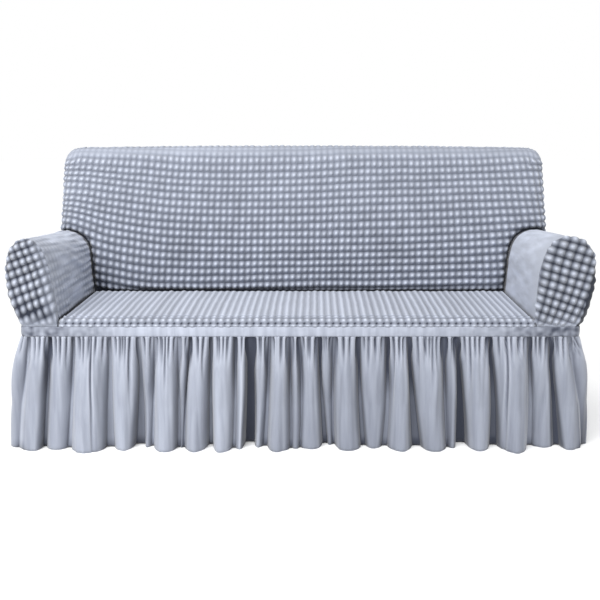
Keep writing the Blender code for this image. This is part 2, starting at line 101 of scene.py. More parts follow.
# The arms: outward distance and height at the front, then the same at the back.
ARM_FOOT_Z = BAND_TOP + SEAM
LEFT_ARM = (
    (0.805, ARM_FOOT_Z, 0.809, ARM_FOOT_Z),
    (0.817, 0.528, 0.822, 0.528),
    (0.826, 0.584, 0.826, 0.578),
    (0.836, 0.630, 0.831, 0.613),
    (0.853, 0.678, 0.842, 0.643),
    (0.873, 0.703, 0.869, 0.670),
    (0.899, 0.715, 0.906, 0.686),
    (0.931, 0.707, 0.939, 0.685),
    (0.953, 0.688, 0.956, 0.671),
    (0.966, 0.664, 0.966, 0.653),
    (0.973, 0.633, 0.971, 0.631),
    (0.976, 0.597, 0.972, 0.598),
    (0.975, 0.554, 0.967, 0.554),
    (0.969, 0.514, 0.959, 0.514),
    (0.959, 0.480, 0.949, 0.480),
    (0.946, 0.446, 0.939, 0.446),
    (0.9355, ARM_FOOT_Z, 0.9355, ARM_FOOT_Z),
)
RIGHT_ARM = (
    (0.786, ARM_FOOT_Z, 0.804, ARM_FOOT_Z),
    (0.789, 0.528, 0.817, 0.528),
    (0.792, 0.579, 0.822, 0.577),
    (0.799, 0.628, 0.829, 0.612),
    (0.817, 0.678, 0.842, 0.646),
    (0.845, 0.711, 0.866, 0.673),
    (0.881, 0.722, 0.903, 0.690),
    (0.921, 0.715, 0.950, 0.690),
    (0.955, 0.692, 0.984, 0.671),
    (0.972, 0.664, 0.989, 0.646),
    (0.979, 0.630, 0.988, 0.619),
    (0.980, 0.589, 0.983, 0.587),
    (0.979, 0.548, 0.974, 0.548),
    (0.972, 0.509, 0.963, 0.509),
    (0.963, 0.476, 0.951, 0.476),
    (0.952, 0.446, 0.942, 0.446),
    (0.9380, ARM_FOOT_Z, 0.9380, ARM_FOOT_Z),
)
# The rim of an arm's end panel runs through these stations of the arm's section: CAP_STRAIGHT of them up
# each side, and the others over the top, at the CAP_MARKS of each half side of a square. Inside the
# station ARM_WRAP an arm's cloth ends at the back, and outside it the cloth runs on to the rear seam.
ARM_STATIONS = (0, 0.25, 0.6, 1, 1.5, 2.2, 3, 3.5, 4, 4.5, 5, 5.5, 6,
                6.5, 7, 7.5, 8, 9, 10, 11, 12, 13, 14, 15, 16)
ARM_WRAP = 8
CAP_ROLL = (0.028, 0.025)
CAP_SQUARE_REACH = 0.004
CAP_MARKS = (0.0, 0.55, 0.8, 1.0)
CAP_STRAIGHT = 6
CAP_COLUMNS = 56
CAP_LEVELS = 60
CAP_ROUNDS = 32

# The skirt. Its folds swell out by SHOULDER in their upper part, and their middle places lie at MIDDLE_ROW
# of the drop. Folds without a table are EVEN_FOLD apart. Its seams, SKIRT_SEAM wide, lie CORNER_PAST
# beyond the body's corners.
SKIRT_TOP = BAND_BOTTOM - SEAM
HEM_LIFT = 0.003
MIDDLE_ROW = 0.45
RIDGE_TOP = 0.004
VALLEY_TOP = -0.002
SHOULDER = 0.009
EVEN_FOLD = 0.090
CORNER_PAST = 0.023
SKIRT_SEAM = 0.006
# A fold, in mm: its valley's place at the top, middle and hem, its floor's width at the top and the hem,
# how far the floor stands out at the hem, and how far the ridge after it does. The last three are
# percentages of painted shade: how dark the valley is painted near the top and near the hem, and how dark
# the ridge after it is painted.
Fold = namedtuple("Fold", "top middle hem top_width hem_width floor ridge dark_top dark_hem dark_ridge")
FRONT_FOLDS = tuple(Fold(*row) for row in (
    (-976, -978, -980, 4, 6, 16, 63, 5, 0, 5),
    (-905, -922, -930, 8, 16, 34, 36, 10, 0, 5),
    (-835, -853, -874, 6, 14, -10, 22, 70, 30, 5),
    (-757, -768, -787, 6, 16, 4, 57, 30, 5, 0),
    (-635, -642, -648, 7, 30, -4, 34, 15, 20, 0),
    (-538, -539, -550, 7, 34, -32, 2, 30, 40, 45),
    (-485, -493, -506, 6, 10, -13, 50, 25, 10, 5),
    (-407, -409, -414, 7, 10, 0, 6, 20, 30, 60),
    (-366, -382, -397, 5, 6, 0, 48, 60, 35, 14),
    (-296, -302, -307, 7, 14, -29, 51, 50, 20, 0),
    (-217, -218, -226, 9, 12, 6, 21, 60, 20, 24),
    (-167, -167, -173, 22, 32, -53, 0, 85, 100, 38),
    (-101, -108, -120, 8, 16, -13, 44, 55, 35, 24),
    (-34, -32, -31, 5, 10, 8, 15, 65, 35, 60),
    (-2, 5, 0, 5, 8, 2, 17, 60, 35, 26),
    (63, 73, 87, 7, 18, -40, -23, 75, 45, 60),
    (114, 111, 116, 8, 8, -32, 36, 45, 35, 26),
    (197, 202, 217, 7, 18, -19, 13, 80, 40, 24),
    (288, 297, 289, 8, 20, -15, 40, 75, 25, 18),
    (361, 377, 399, 7, 30, -15, 44, 75, 40, 22),
    (482, 488, 503, 8, 8, -2, 6, 50, 30, 60),
    (522, 542, 554, 8, 36, -46, 40, 60, 55, 8),
    (632, 653, 664, 8, 26, -23, 58, 60, 45, 22),
    (764, 780, 788, 8, 22, -20, 2, 50, 10, 20),
    (833, 856, 882, 7, 20, -23, 27, 80, 55, 20),
    (896, 928, 944, 7, 16, 31, 56, 15, 15, 25),
    (978, 980, 982, 4, 6, 16, 0, 55, 60, 0),
))
# Short gathers that run out below the band: place along it in mm, and the share of the drop they reach.
FRONT_GATHERS = (
    (-800, 0.12), (-736, 0.10), (-697, 0.90), (-640, 0.09), (-593, 0.10), (-570, 0.43), (-523, 0.10),
    (-467, 0.10), (-450, 0.30), (-343, 0.08), (-323, 0.20), (-270, 0.12), (-243, 0.10), (-150, 0.10),
    (-130, 0.14), (-60, 0.12), (27, 0.12), (80, 0.09), (100, 0.10), (143, 0.16), (227, 0.20),
    (250, 0.10), (310, 0.43), (333, 0.10), (393, 0.25), (420, 0.10), (443, 0.29), (517, 0.10),
    (567, 0.36), (600, 0.10), (690, 0.95), (733, 0.08), (800, 0.10), (853, 0.10), (916, 0.10),
)
GATHER_WIDTH = 4.0
# How far the skirt stands out at its seams at the hem, and the depth of its creases.
SEAM_OUT = 0.008
CREASE = 0.0085
# How much darker the valleys' painted shade is than their tables say, on the left and past RIGHT_PART in
# mm. Their painted shade runs on up the ridges: its width at the top and how much it widens to the hem,
# after a valley and before the next one. Painted highlights lie on crests beside a valley: how far off and
# how wide they are.
VALLEY_DARKER = (1.15, 1.4)
RIGHT_PART = 200
AFTER_VALLEY = (0.003, 0.004)
BEFORE_VALLEY = (0.005, 0.008)
CREST_AFTER = (0.010, 0.005)
CREST_BEFORE = (0.016, 0.006)
# Shade over the whole skirt, at its hem, left end, right half and right corner, and between ridges there.
SKIRT_SHADE = 0.16
HEM_SHADE = 0.04
LEFT_SHADE = 0.09
RIGHT_SHADE = 0.05
BETWEEN_SHADE = 0.3
CORNER_DARK = 0.5
# Grid steps along the front skirt, along the others and across a valley's floor, rows of the grid, and the
# power by which the rows crowd towards the band.
FRONT_STEP = 0.0027
PLAIN_STEP = 0.0042
FLOOR_STEP = 0.0055
SKIRT_ROWS = 50
ROW_CROWDING = 1.35

# Sides of the cover are -1 for the left and 1 for the right.
# Bubble cloth has QUADS grid steps to a bubble, and its bubbles rise to their full height over EDGE at a
# seam. Points of a grid that lie within SAME_PLACE are one.
QUADS = 4
EDGE = 0.012
SAME_PLACE = 0.00002
# A bubble: how pointed it is, how full the shallower grooves are between bubbles and between ribs, by how
# much bubbles differ in height, and how quickly the grooves' straying turns, for each bubble.
POINTED = 1.1
SHALLOW = (0.3, 0.9)
UNEVEN = (0.82, 1.12)
WANDER_TURN = (0.31, 0.37)


class BubbleCloth(bpy.types.PropertyGroup):
    """Sizes and colours of the puffed cloth on the back, seat and arms."""
    height: FloatProperty(
        name="Bubble height", description="How far a bubble stands out of its grooves",
        default=0.0085, min=0.0, max=0.02, unit="LENGTH")
    seam_dip: FloatProperty(
        name="Seam dip", description="How far the cloth sinks at a seam",
        default=0.0016, min=0.0, max=0.01, unit="LENGTH")
    wander: FloatProperty(
        name="Groove wander", description="How far the grooves stray from straight lines",
        default=0.0016, min=0.0, max=0.01, unit="LENGTH")
    # The tips have the cloth's own colour; the sides and grooves below are painted shade over it.
    colour: FloatVectorProperty(
        name="Tips", description="Colour of the bubbles' tips, where the cloth is stretched smooth",
        default=(0.515, 0.553, 0.648), min=0.0, max=1.0, size=3, subtype="COLOR")
    # Painted shade on the bubbles' sides.
    flank_shade: FloatVectorProperty(
        name="Sides", description="Colour of the bubbles' sides",
        default=(0.345, 0.375, 0.451), min=0.0, max=1.0, size=3, subtype="COLOR")
    # Painted shade down in the grooves between bubbles.
    groove_shade: FloatVectorProperty(
        name="Groove", description="Colour down in the grooves, where the cloth is gathered tight",
        default=(0.128, 0.140, 0.182), min=0.0, max=1.0, size=3, subtype="COLOR")
    # Painted shade, laid in by each point's shade mark: in crevices, corners, grooves and on dark rims.
    crevice: FloatVectorProperty(
        name="Crevice", description="Colour where the cloth is tucked in along the seat and the arms",
        default=(0.014, 0.018, 0.032), min=0.0, max=1.0, size=3, subtype="COLOR")


class PlainCloth(bpy.types.PropertyGroup):
    """Sizes and colours of the smooth knit of the band and the skirt."""
    gather: FloatProperty(
        name="Gather depth", description="Depth of the short gathers just below the band",
        default=0.0110, min=0.0, max=0.03, unit="LENGTH")
    colour: FloatVectorProperty(
        name="Cloth", description="Colour of the knit",
        default=(0.418, 0.449, 0.529), min=0.0, max=1.0, size=3, subtype="COLOR")
    shade: FloatVectorProperty(
        name="Thin cloth", description="Colour of the knit where it is stretched a little thinner",
        default=(0.322, 0.348, 0.418), min=0.0, max=1.0, size=3, subtype="COLOR")
    # Painted highlight on the crests beside the skirt's gathers and valleys.
    crest_highlight: FloatVectorProperty(
        name="Crest", description="Colour on the crests beside the gathers, where the knit is drawn tight",
        default=(0.560, 0.595, 0.680), min=0.0, max=1.0, size=3, subtype="COLOR")
    # Painted shade in the skirt's folds and gathers and on the band's shaded stretches.
    fold: FloatVectorProperty(
        name="Fold", description="Colour deep in a fold, where the knit is doubled",
        default=(0.045, 0.052, 0.077), min=0.0, max=1.0, size=3, subtype="COLOR")


class Studio(bpy.types.PropertyGroup):
    """Camera and lights."""
    lens: FloatProperty(
        name="Lens", description="Focal length on a 36 mm sensor", default=49.8, min=10.0, max=200.0,
        subtype="DISTANCE_CAMERA")
    tilt: FloatProperty(
        name="Tilt", description="How far the camera looks down", default=math.atan(152 / 830),
        min=0.0, max=1.5, subtype="ANGLE")
    distance: FloatProperty(
        name="Distance", description="From the camera to the plane of the arm fronts",
        default=2.7036, min=0.5, max=10.0, unit="LENGTH")
    eye_height: FloatProperty(
        name="Eye height", description="Height of the camera", default=1.0083, min=0.0, max=5.0,
        unit="LENGTH")
    sun: FloatProperty(
        name="Sun", description="Strength of the wide soft light high above the camera",
        default=2.95, min=0.0)
    side_light: FloatProperty(
        name="Side light", description="Power of the soft light on the left of the camera, in watts",
        default=55.0, min=0.0)
    sun_height: FloatProperty(
        name="Sun height", description="How far the light stands above the floor", default=1.05,
        min=0.0, max=1.57, subtype="ANGLE")
    sun_turn: FloatProperty(
        name="Sun turn", description="How far the light stands to the left of the camera", default=0.22,
        min=-3.2, max=3.2, subtype="ANGLE")
    surround: FloatProperty(
        name="Surround", description="Strength of the white surround", default=0.38, min=0.0, max=5.0)


# Small helpers ------------------------------------------------------------------------------------

def mix(start, end, share):
    """The value that lies `share` of the way from start to end."""
    return start + (end - start) * share


def clamp(value, low=0.0, high=1.0):
    return min(max(value, low), high)


def ease(share):
    """A share from 0 to 1 with soft ends."""
    share = clamp(share)
    return share * share * (3 - 2 * share)


def near(distance, reach):
    """1 where there is no distance, with a soft fall to 0 at `reach`."""
    return ease(1 - distance / reach)


def shaded(distance, line):
    """Shade at a distance from a line of it, which is given as its strength and width."""
    strength, width = line
    return strength * near(distance, width)


def bell(distance, width):
    """1 where there is no distance, with a bell-shaped fall."""
    return math.exp(-(distance / width) ** 2)


def read_at(marks, place):
    """The value of a list at a place between two of its items."""
    low = min(max(int(place), 0), len(marks) - 2)
    return mix(marks[low], marks[low + 1], place - low)


def smooth_row(rows, place):
    """A row of a table at a place between its rows, on a smooth curve through them all."""
    low = min(max(int(place), 0), len(rows) - 2)
    share = place - low
    before = rows[max(low - 1, 0)]
    after = rows[min(low + 2, len(rows) - 1)]
    values = []
    for a, b, c, d in zip(before, rows[low], rows[low + 1], after):
        bend = 2 * a - 5 * b + 4 * c - d
        turn = 3 * b - a - 3 * c + d
        values.append(b + 0.5 * share * (c - a + share * (bend + share * turn)))
    return values


class BubbleRow:
    """Bubbles side by side along one direction of a cloth: where one has its middle, and their pitch."""

    def __init__(self, middle, pitch, start, end):
        self.middle = middle
        self.pitch = pitch
        self.first = math.floor((start - middle) / pitch + 0.5)
        self.steps = (math.ceil((end - middle) / pitch + 0.5) - self.first) * QUADS

    def number(self, step):
        """Which bubble a grid line crosses; whole numbers are grooves."""
        return self.first + step / QUADS

    def place(self, number):
        """Where along the cloth a bubble's number lies."""
        return self.middle + (number - 0.5) * self.pitch


def bubble(across, along, puff=1.0, edge=1.0, ribs=0.0):
    """How far bubble cloth stands out at a place counted in bubbles, and how full it is there.

    Rows are parted by deep grooves and columns by shallower ones. `puff` says how full the bubbles are,
    `edge` runs from 0 at a seam to 1 away from it, and `ribs` from 0 for bubbles to 1 for plain ribs.
    """
    sizes = bpy.context.scene.bubble_cloth
    chance = noise.cell(Vector((math.floor(across) * 1.37, math.floor(along) * 1.91, 0.5)))
    side = abs(math.sin(math.pi * across)) ** POINTED
    rise = abs(math.sin(math.pi * along)) ** POINTED
    puff *= ease(edge)
    full = rise * mix(mix(*SHALLOW, ribs), 1.0, side) * mix(*UNEVEN, chance)
    return puff * sizes.height * full - sizes.seam_dip, puff


def wander(across, along, seed):
    """How far grooves stray at a place, along both directions of the cloth."""
    reach = bpy.context.scene.bubble_cloth.wander
    spot = Vector((across * WANDER_TURN[0], along * WANDER_TURN[1], seed))
    return noise.noise(spot) * reach, noise.noise(spot + Vector((40.0, 11.0, 0.0))) * reach


def cloth(name, columns, rows, surface, material, outside):
    """One sheet of cloth in place of its solid: a grid on `surface`, with its relief and thickness.

    `surface` gives a grid point's place, its two cloth coordinates, how far it stands out along the
    normal, how full its bubbles are or how strong a painted highlight on crests of plain cloth is, how
    much painted shade it lies in and how far its bubbles run into ribs, or None where there is no cloth.
    `outside` is +1 where columns and then rows turn anticlockwise seen from outside.
    """
    grid = bmesh.new()
    bmesh.ops.create_grid(grid, x_segments=columns, y_segments=rows, size=1.0)
    across_layer = grid.verts.layers.float.new("across")
    along_layer = grid.verts.layers.float.new("along")
    lift_layer = grid.verts.layers.float.new("lift")
    marks = [grid.verts.layers.float.new(mark) for mark in ("puff", "shade", "ribs")]
    dropped = []
    for vert in grid.verts:
        column = round((vert.co.x + 1) / 2 * columns)
        row = round((vert.co.y + 1) / 2 * rows)
        spot = surface(column, row)
        if spot is None:
            dropped.append(vert)
            continue
        point, vert[across_layer], vert[along_layer], vert[lift_layer], *values = spot
        for layer, value in zip(marks, values):
            vert[layer] = value
        vert.co = point - ORIGIN
    bmesh.ops.delete(grid, geom=dropped, context="VERTS")
    bmesh.ops.remove_doubles(grid, verts=grid.verts, dist=SAME_PLACE)
    if outside < 0:
        bmesh.ops.reverse_faces(grid, faces=grid.faces)
    grid.normal_update()
    for vert in grid.verts:
        vert.co += vert.normal * vert[lift_layer]
    uv = grid.loops.layers.uv.new("cloth")
    for face in grid.faces:
        face.smooth = True
        for loop in face.loops:
            loop[uv].uv = (loop.vert[across_layer], loop.vert[along_layer])
    for layer in (lift_layer, along_layer, across_layer):
        grid.verts.layers.float.remove(layer)
    mesh = bpy.data.meshes.new(name)
    grid.to_mesh(mesh)
    grid.free()
    mesh.materials.append(material)
    piece = bpy.data.objects.new(name, mesh)
    bpy.context.scene.collection.objects.link(piece)
    wall = piece.modifiers.new("Cloth thickness", "SOLIDIFY")
    wall.thickness = CLOTH
    wall.offset = -1.0
    wall.use_even_offset = False
    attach(piece, "root")
    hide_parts(name)
    return piece


# Finishes -----------------------------------------------------------------------------------------

# How much of the light colour of a bubble's tip its two directions and both together give.
TIP_SIDE = 0.30
TIP_RISE = 0.35
TIP_BOTH = 0.35
KNIT_SCALE = {"puffed_cloth": 900.0, "plain_knit": 1100.0}


class Finish:
    """A new node material, with short ways to add the nodes that both cloths use."""

    def __init__(self, name):
        self.material = bpy.data.materials.new(name)
        self.material.use_nodes = True
        self.tree = self.material.node_tree
        self.tree.nodes.clear()
        self.place = self.add("ShaderNodeTexCoord").outputs["Object"]
        self.grid = self.add("ShaderNodeUVMap", uv_map="cloth").outputs["UV"]
        self.knit = self.noise(self.place, KNIT_SCALE[name], roughness=0.65)

    def add(self, kind, inputs=None, **settings):
        """A node with its settings; `inputs` gives a value or another node's output by socket."""
        node = self.tree.nodes.new(kind)
        for key, value in settings.items():
            setattr(node, key, value)
        for socket, value in (inputs or {}).items():
            if isinstance(value, bpy.types.NodeSocket):
                self.tree.links.new(value, node.inputs[socket])
            else:
                node.inputs[socket].default_value = value
        return node

    def mark(self, name):
        """A value that cloth() stored at each point of the mesh."""
        return self.add("ShaderNodeAttribute", attribute_name=name).outputs["Fac"]

    def maths(self, operation, *values, within=False):
        """A Math node; `within` keeps its result between 0 and 1."""
        inputs = dict(enumerate(values))
        return self.add("ShaderNodeMath", inputs, operation=operation, use_clamp=within).outputs[0]

    def noise(self, place, scale, detail=3.0, roughness=0.5):
        """Soft noise over a place."""
        inputs = {"Vector": place, "Scale": scale, "Detail": detail, "Roughness": roughness}
        return self.add("ShaderNodeTexNoise", inputs).outputs["Fac"]

    def scaled(self, place, scale):
        """A place stretched by a scale."""
        return self.add("ShaderNodeMapping", {"Vector": place, "Scale": scale}).outputs["Vector"]

    def hump(self, value, power):
        """A value's place within its bubble as a hump: 0 at both grooves and 1 in the middle."""
        wave = self.maths("SINE", self.maths("MULTIPLY", value, math.pi))
        return self.maths("POWER", self.maths("ABSOLUTE", wave), power)

    def ramp(self, value, low, high, low_at=0.3, high_at=0.7, middle=None):
        """Two colours mixed by a value, perhaps with a third one a third of the way."""
        node = self.add("ShaderNodeValToRGB", {"Fac": value})
        first, last = node.color_ramp.elements
        first.position = low_at
        first.color = (*low, 1.0)
        last.position = high_at
        last.color = (*high, 1.0)
        if middle:
            node.color_ramp.elements.new(mix(low_at, high_at, 0.32)).color = (*middle, 1.0)
        return node.outputs["Color"]

    def greys(self, value, low, high, low_at=0.3, high_at=0.7):
        """Two greys mixed by a value."""
        return self.ramp(value, [low] * 3, [high] * 3, low_at, high_at)

    def blend(self, share, first, second, kind="MIX"):
        """Two colours, of which the second is laid over the first by a share."""
        inputs = {"Factor": share, 6: first, 7: second}
        return self.add("ShaderNodeMix", inputs, data_type="RGBA", blend_type=kind).outputs[2]

    def close(self, colour, roughness, sheen, relief, strength, distance):
        """The matt shader that both cloths end in, over their relief."""
        heights = {"Height": relief, "Strength": strength, "Distance": distance}
        shader = self.add("ShaderNodeBsdfPrincipled", {
            "Base Color": colour,
            "Roughness": roughness,
            "Metallic": 0.0,
            "Specular IOR Level": 0.25,
            "Sheen Weight": sheen,
            "Sheen Roughness": 0.5,
            "Normal": self.add("ShaderNodeBump", heights).outputs["Normal"],
        })
        self.add("ShaderNodeOutputMaterial", {"Surface": shader.outputs["BSDF"]})
        return self.material


def bubble_cloth():
    """Matt puffed cloth with painted shade in its grooves, crinkled round each bubble, with a fine knit.
    """
    made = bpy.data.materials.get("puffed_cloth")
    if made:
        return made
    sizes = bpy.context.scene.bubble_cloth
    finish = Finish("puffed_cloth")
    maths = finish.maths
    puff = finish.mark("puff")
    ribs = finish.mark("ribs")
    spot = finish.add("ShaderNodeSeparateXYZ", {0: finish.grid}).outputs
    side = finish.hump(spot["X"], 1.3)
    rise = finish.hump(spot["Y"], 1.2)
    base = maths("MULTIPLY_ADD", ribs, 0.70, 0.16)
    lump = maths("MULTIPLY_ADD", side, maths("SUBTRACT", 1.0, base), base)
    pillow = maths("MULTIPLY", maths("MULTIPLY", rise, lump), puff)
    hollow = maths("SUBTRACT", puff, pillow)

    # Painted shade: the colour is lightest on the tips and darkest where two grooves cross, and flat
    # cloth lies between.
    tip = maths("MULTIPLY_ADD", rise, TIP_RISE, maths("MULTIPLY", side, TIP_SIDE))
    tip = maths("MULTIPLY_ADD", maths("MULTIPLY", rise, side), TIP_BOTH, tip)
    tip = maths("MAXIMUM", tip, maths("MULTIPLY", ribs, rise))
    tip = maths("MULTIPLY", tip, puff)
    flat = maths("MULTIPLY_ADD", puff, -0.25, 0.25)
    low = maths("ADD", maths("SUBTRACT", puff, tip), flat)
    tint = finish.ramp(low, sizes.colour, sizes.groove_shade, 0.06, 0.96, sizes.flank_shade)

    # Shade gathers in the grooves first.
    sunk = maths("MULTIPLY_ADD", tip, -0.85, 1.0)
    sunk = maths("MAXIMUM", maths("MULTIPLY", sunk, sunk), 0.15)
    crevice = maths("MULTIPLY", finish.mark("shade"), sunk, within=True)
    colour = finish.blend(crevice, tint, (*sizes.crevice, 1.0))

    # Every bubble has its own tone, smooth cloth is a little patchy, and ribs have streaks along them.
    tone = finish.greys(finish.noise(finish.place, 5.0), 0.94, 1.04)
    cell = finish.add("ShaderNodeVectorMath", {0: finish.grid}, operation="FLOOR").outputs[0]
    chance = finish.add("ShaderNodeTexWhiteNoise", {"Vector": cell}, noise_dimensions="2D")
    uneven = finish.greys(chance.outputs["Value"], 0.84, 1.06, 0.0, 1.0)
    streak = finish.noise(finish.scaled(finish.grid, (0.22, 0.8, 1.0)), 1.0, 2.0)
    streaked = finish.greys(streak, 0.92, 1.42, 0.32, 0.66)
    tone = finish.blend(puff, tone, uneven, "MULTIPLY")
    colour = finish.blend(1.0, colour, tone, "MULTIPLY")
    colour = finish.blend(ribs, colour, streaked, "MULTIPLY")

    crinkle = maths("MULTIPLY", finish.noise(finish.grid, 3.2, 2.0), hollow)
    fine = maths("MULTIPLY_ADD", finish.knit, 0.12, crinkle)
    relief = maths("MULTIPLY_ADD", fine, 0.2, pillow)
    return finish.close(colour, finish.greys(finish.knit, 0.86, 0.96), 0.25, relief, 1.0, 0.0095)


def plain_cloth():
    """Smooth matt knit with fine upright ribs and slightly uneven tone, with painted shade and highlights.
    """
    made = bpy.data.materials.get("plain_knit")
    if made:
        return made
    sizes = bpy.context.scene.plain_cloth
    finish = Finish("plain_knit")
    streak = finish.noise(finish.scaled(finish.place, (18.0, 18.0, 1.4)), 3.0)
    colour = finish.ramp(streak, sizes.shade, sizes.colour, 0.28, 0.62)
    # Painted shade in folds and gathers, then a painted highlight on crests.
    colour = finish.blend(finish.mark("shade"), colour, (*sizes.fold, 1.0))
    crest_highlight_share = finish.maths("MULTIPLY", finish.mark("puff"), 0.6)
    colour = finish.blend(crest_highlight_share, colour, (*sizes.crest_highlight, 1.0))
    waves = {"Vector": finish.grid, "Scale": 160.0, "Distortion": 0.6}
    rib = finish.add("ShaderNodeTexWave", waves, wave_type="BANDS", bands_direction="X").outputs["Fac"]
    relief = finish.maths("MULTIPLY_ADD", rib, 0.35, finish.knit)
    return finish.close(colour, finish.greys(finish.knit, 0.80, 0.93), 0.30, relief, 0.25, 0.0006)


# Rolled edges -------------------------------------------------------------------------------------

def roll_length(roll):
    """Cloth that a quarter turn of a roll takes up."""
    return math.pi / 2 * math.sqrt((roll[0] ** 2 + roll[1] ** 2) / 2)


def rolled(distance, flat, roll):
    """How far out, and how deep, a point lies after a walk over a flat stretch and round a roll.

    The third value is the walk that is left after the roll.
    """
    if distance <= flat:
        return distance, 0.0, 0.0
    length = roll_length(roll)
    turn = min((distance - flat) / length, 1.0) * math.pi / 2
    left = max(distance - flat - length, 0.0)
    return flat + roll[0] * math.sin(turn), roll[1] * (1 - math.cos(turn)), left


def walk_to(reach, flat, roll):
    """The walk after which rolled() lies `reach` out."""
    if reach <= flat:
        return reach
    turn = math.asin(min((reach - flat) / roll[0], 1.0))
    return flat + roll_length(roll) * turn / (math.pi / 2)


def around_corner(across, up):
    """Walk from a corner's centre and its direction, so that squares turn into rounded squares."""
    walk = max(abs(across), up)
    if walk <= 0:
        return 0.0, 1.0, 0.0
    if abs(across) >= up:
        angle = math.pi / 4 * up / abs(across)
    else:
        angle = math.pi / 2 - math.pi / 4 * abs(across) / up
    out, rise = math.cos(angle), math.sin(angle)
    size = (out ** CORNER_SQUARE + rise ** CORNER_SQUARE) ** (-1 / CORNER_SQUARE)
    return walk, math.copysign(out * size, across), rise * size


def rounded(across, up, left, right, roll):
    """A place on cloth that is rolled at the sides and top of the back.

    Left and right are the centres of its two corners. Gives the place seen from the front, how deep it
    lies, the walk from the centre and what is left of it after the roll.
    """
    middle_x = clamp(across, left, right)
    middle_z = min(up, BACK_TOP - BACK_CORNER)
    walk, out_x, out_z = around_corner(across - middle_x, up - middle_z)
    reach, depth, past = rolled(walk, BACK_CORNER - roll[0], roll)
    return middle_x + out_x * reach * (walk > 0), middle_z + out_z * reach, depth, walk, past


def narrowed(x, z):
    """Place across the back, whose sides lean in above the arms."""
    return x * (1 - BACK_TAPER * max(z - LEFT_ARM[ARM_WRAP][3], 0.0))


def crown(x, z):
    """Rise of the back's top edge towards its middle."""
    return BACK_CROWN * max(0.0, 1 - (x / BACK_RIGHT) ** 2) * (z / BACK_TOP) ** 4


# Arms, which the back and the seat are fitted to ---------------------------------------------------

def arm_section(table, station, share):
    """Outward distance and height of an arm's section, `share` of the way from front to back."""
    front_x, front_z, back_x, back_z = smooth_row(table, station)
    return mix(front_x, back_x, share), mix(front_z, back_z, share)


def arm_surface_end(x, z):
    """Where the back panel stands at a point of its outline: the arm panels end just there."""
    inside = min(x - BACK_LEFT, BACK_RIGHT - x)
    walk = walk_to(BACK_CORNER - inside, BACK_CORNER - FRONT_ROLL[0], FRONT_ROLL)
    depth = rolled(max(walk, 0.0), BACK_CORNER - FRONT_ROLL[0], FRONT_ROLL)[1]
    return back_face_y(x, z) + depth


def arm_lengths(table):
    """Stations of an arm's section and the cloth's length up to each, in small steps."""
    stations = [step / 10 for step in range(160 + 1)]
    points = [Vector(arm_section(table, station, 0.5)) for station in stations]
    lengths = [0.0]
    for start, end in zip(points, points[1:]):
        lengths.append(lengths[-1] + (end - start).length)
    return stations, lengths


ARM_PITCH = (0.0262, 0.0330)
ARM_FRONT = CAP_ROLL[1] + RIM_SEAM
# How full the bubbles are round an arm, from its inner foot to its outer foot, by station.
LEFT_FULL = ((0, 0.30), (3, 0.24), (6, 0.20), (8, 0.5), (10, 1.0), (16, 1.0))
RIGHT_FULL = ((0, 0.0), (4, 0.0), (7, 0.08), (8, 0.6), (10, 1.0), (16, 1.0))
# How an arm's inner side lies: how much flatter its ribs are halfway back, how deep its wrinkles are, how
# much deeper they get towards the back, and how wide and how dark the painted shade of its tuck beside the
# seat is.
INNER_SIDE = {
    -1: (0.9, 0.0038, 0.0034, 1.0, 1.3),
    1: (0.6, 0.0013, 0.0, 0.5, 0.45),
}
# The painted shade of the tuck beside the seat at an arm's front, and how much wider it gets towards
# the back.
TUCK_WIDTH = (0.006, 0.010)
# The ribs of an arm: how fully bubbles run into them, over what share of its depth, how much fuller they
# are away from RIB_MIDDLE of the depth, and how much they differ along themselves.
RIB_SHARE = 0.7
RIB_START = 0.3
RIB_MIDDLE = 0.45
RIB_FULLER = 3.0
RIB_STREAK = 2.2
# How dark the painted shade of an arm is down in the crevice beside the back, on its outer side and
# where it turns under.
ARM_SHADE = (1.5, 0.25, 1.1)
# Where the right arm's outer side turns under: how far that reaches from the arm's front, the height
# below which it does, over what height it fades in, and how far the cloth stands out there.
UNDER_REACH = 0.045
UNDER_TOP = 0.64
UNDER_FADE = 0.08
UNDER_OUT = 0.004


def value_at(marks, place):
    """Value at a place, on soft steps between the marks of a short table."""
    for (start, low), (end, high) in zip(marks, marks[1:]):
        if place <= end:
            return mix(low, high, ease((place - start) / (end - start)))
    return marks[-1][1]


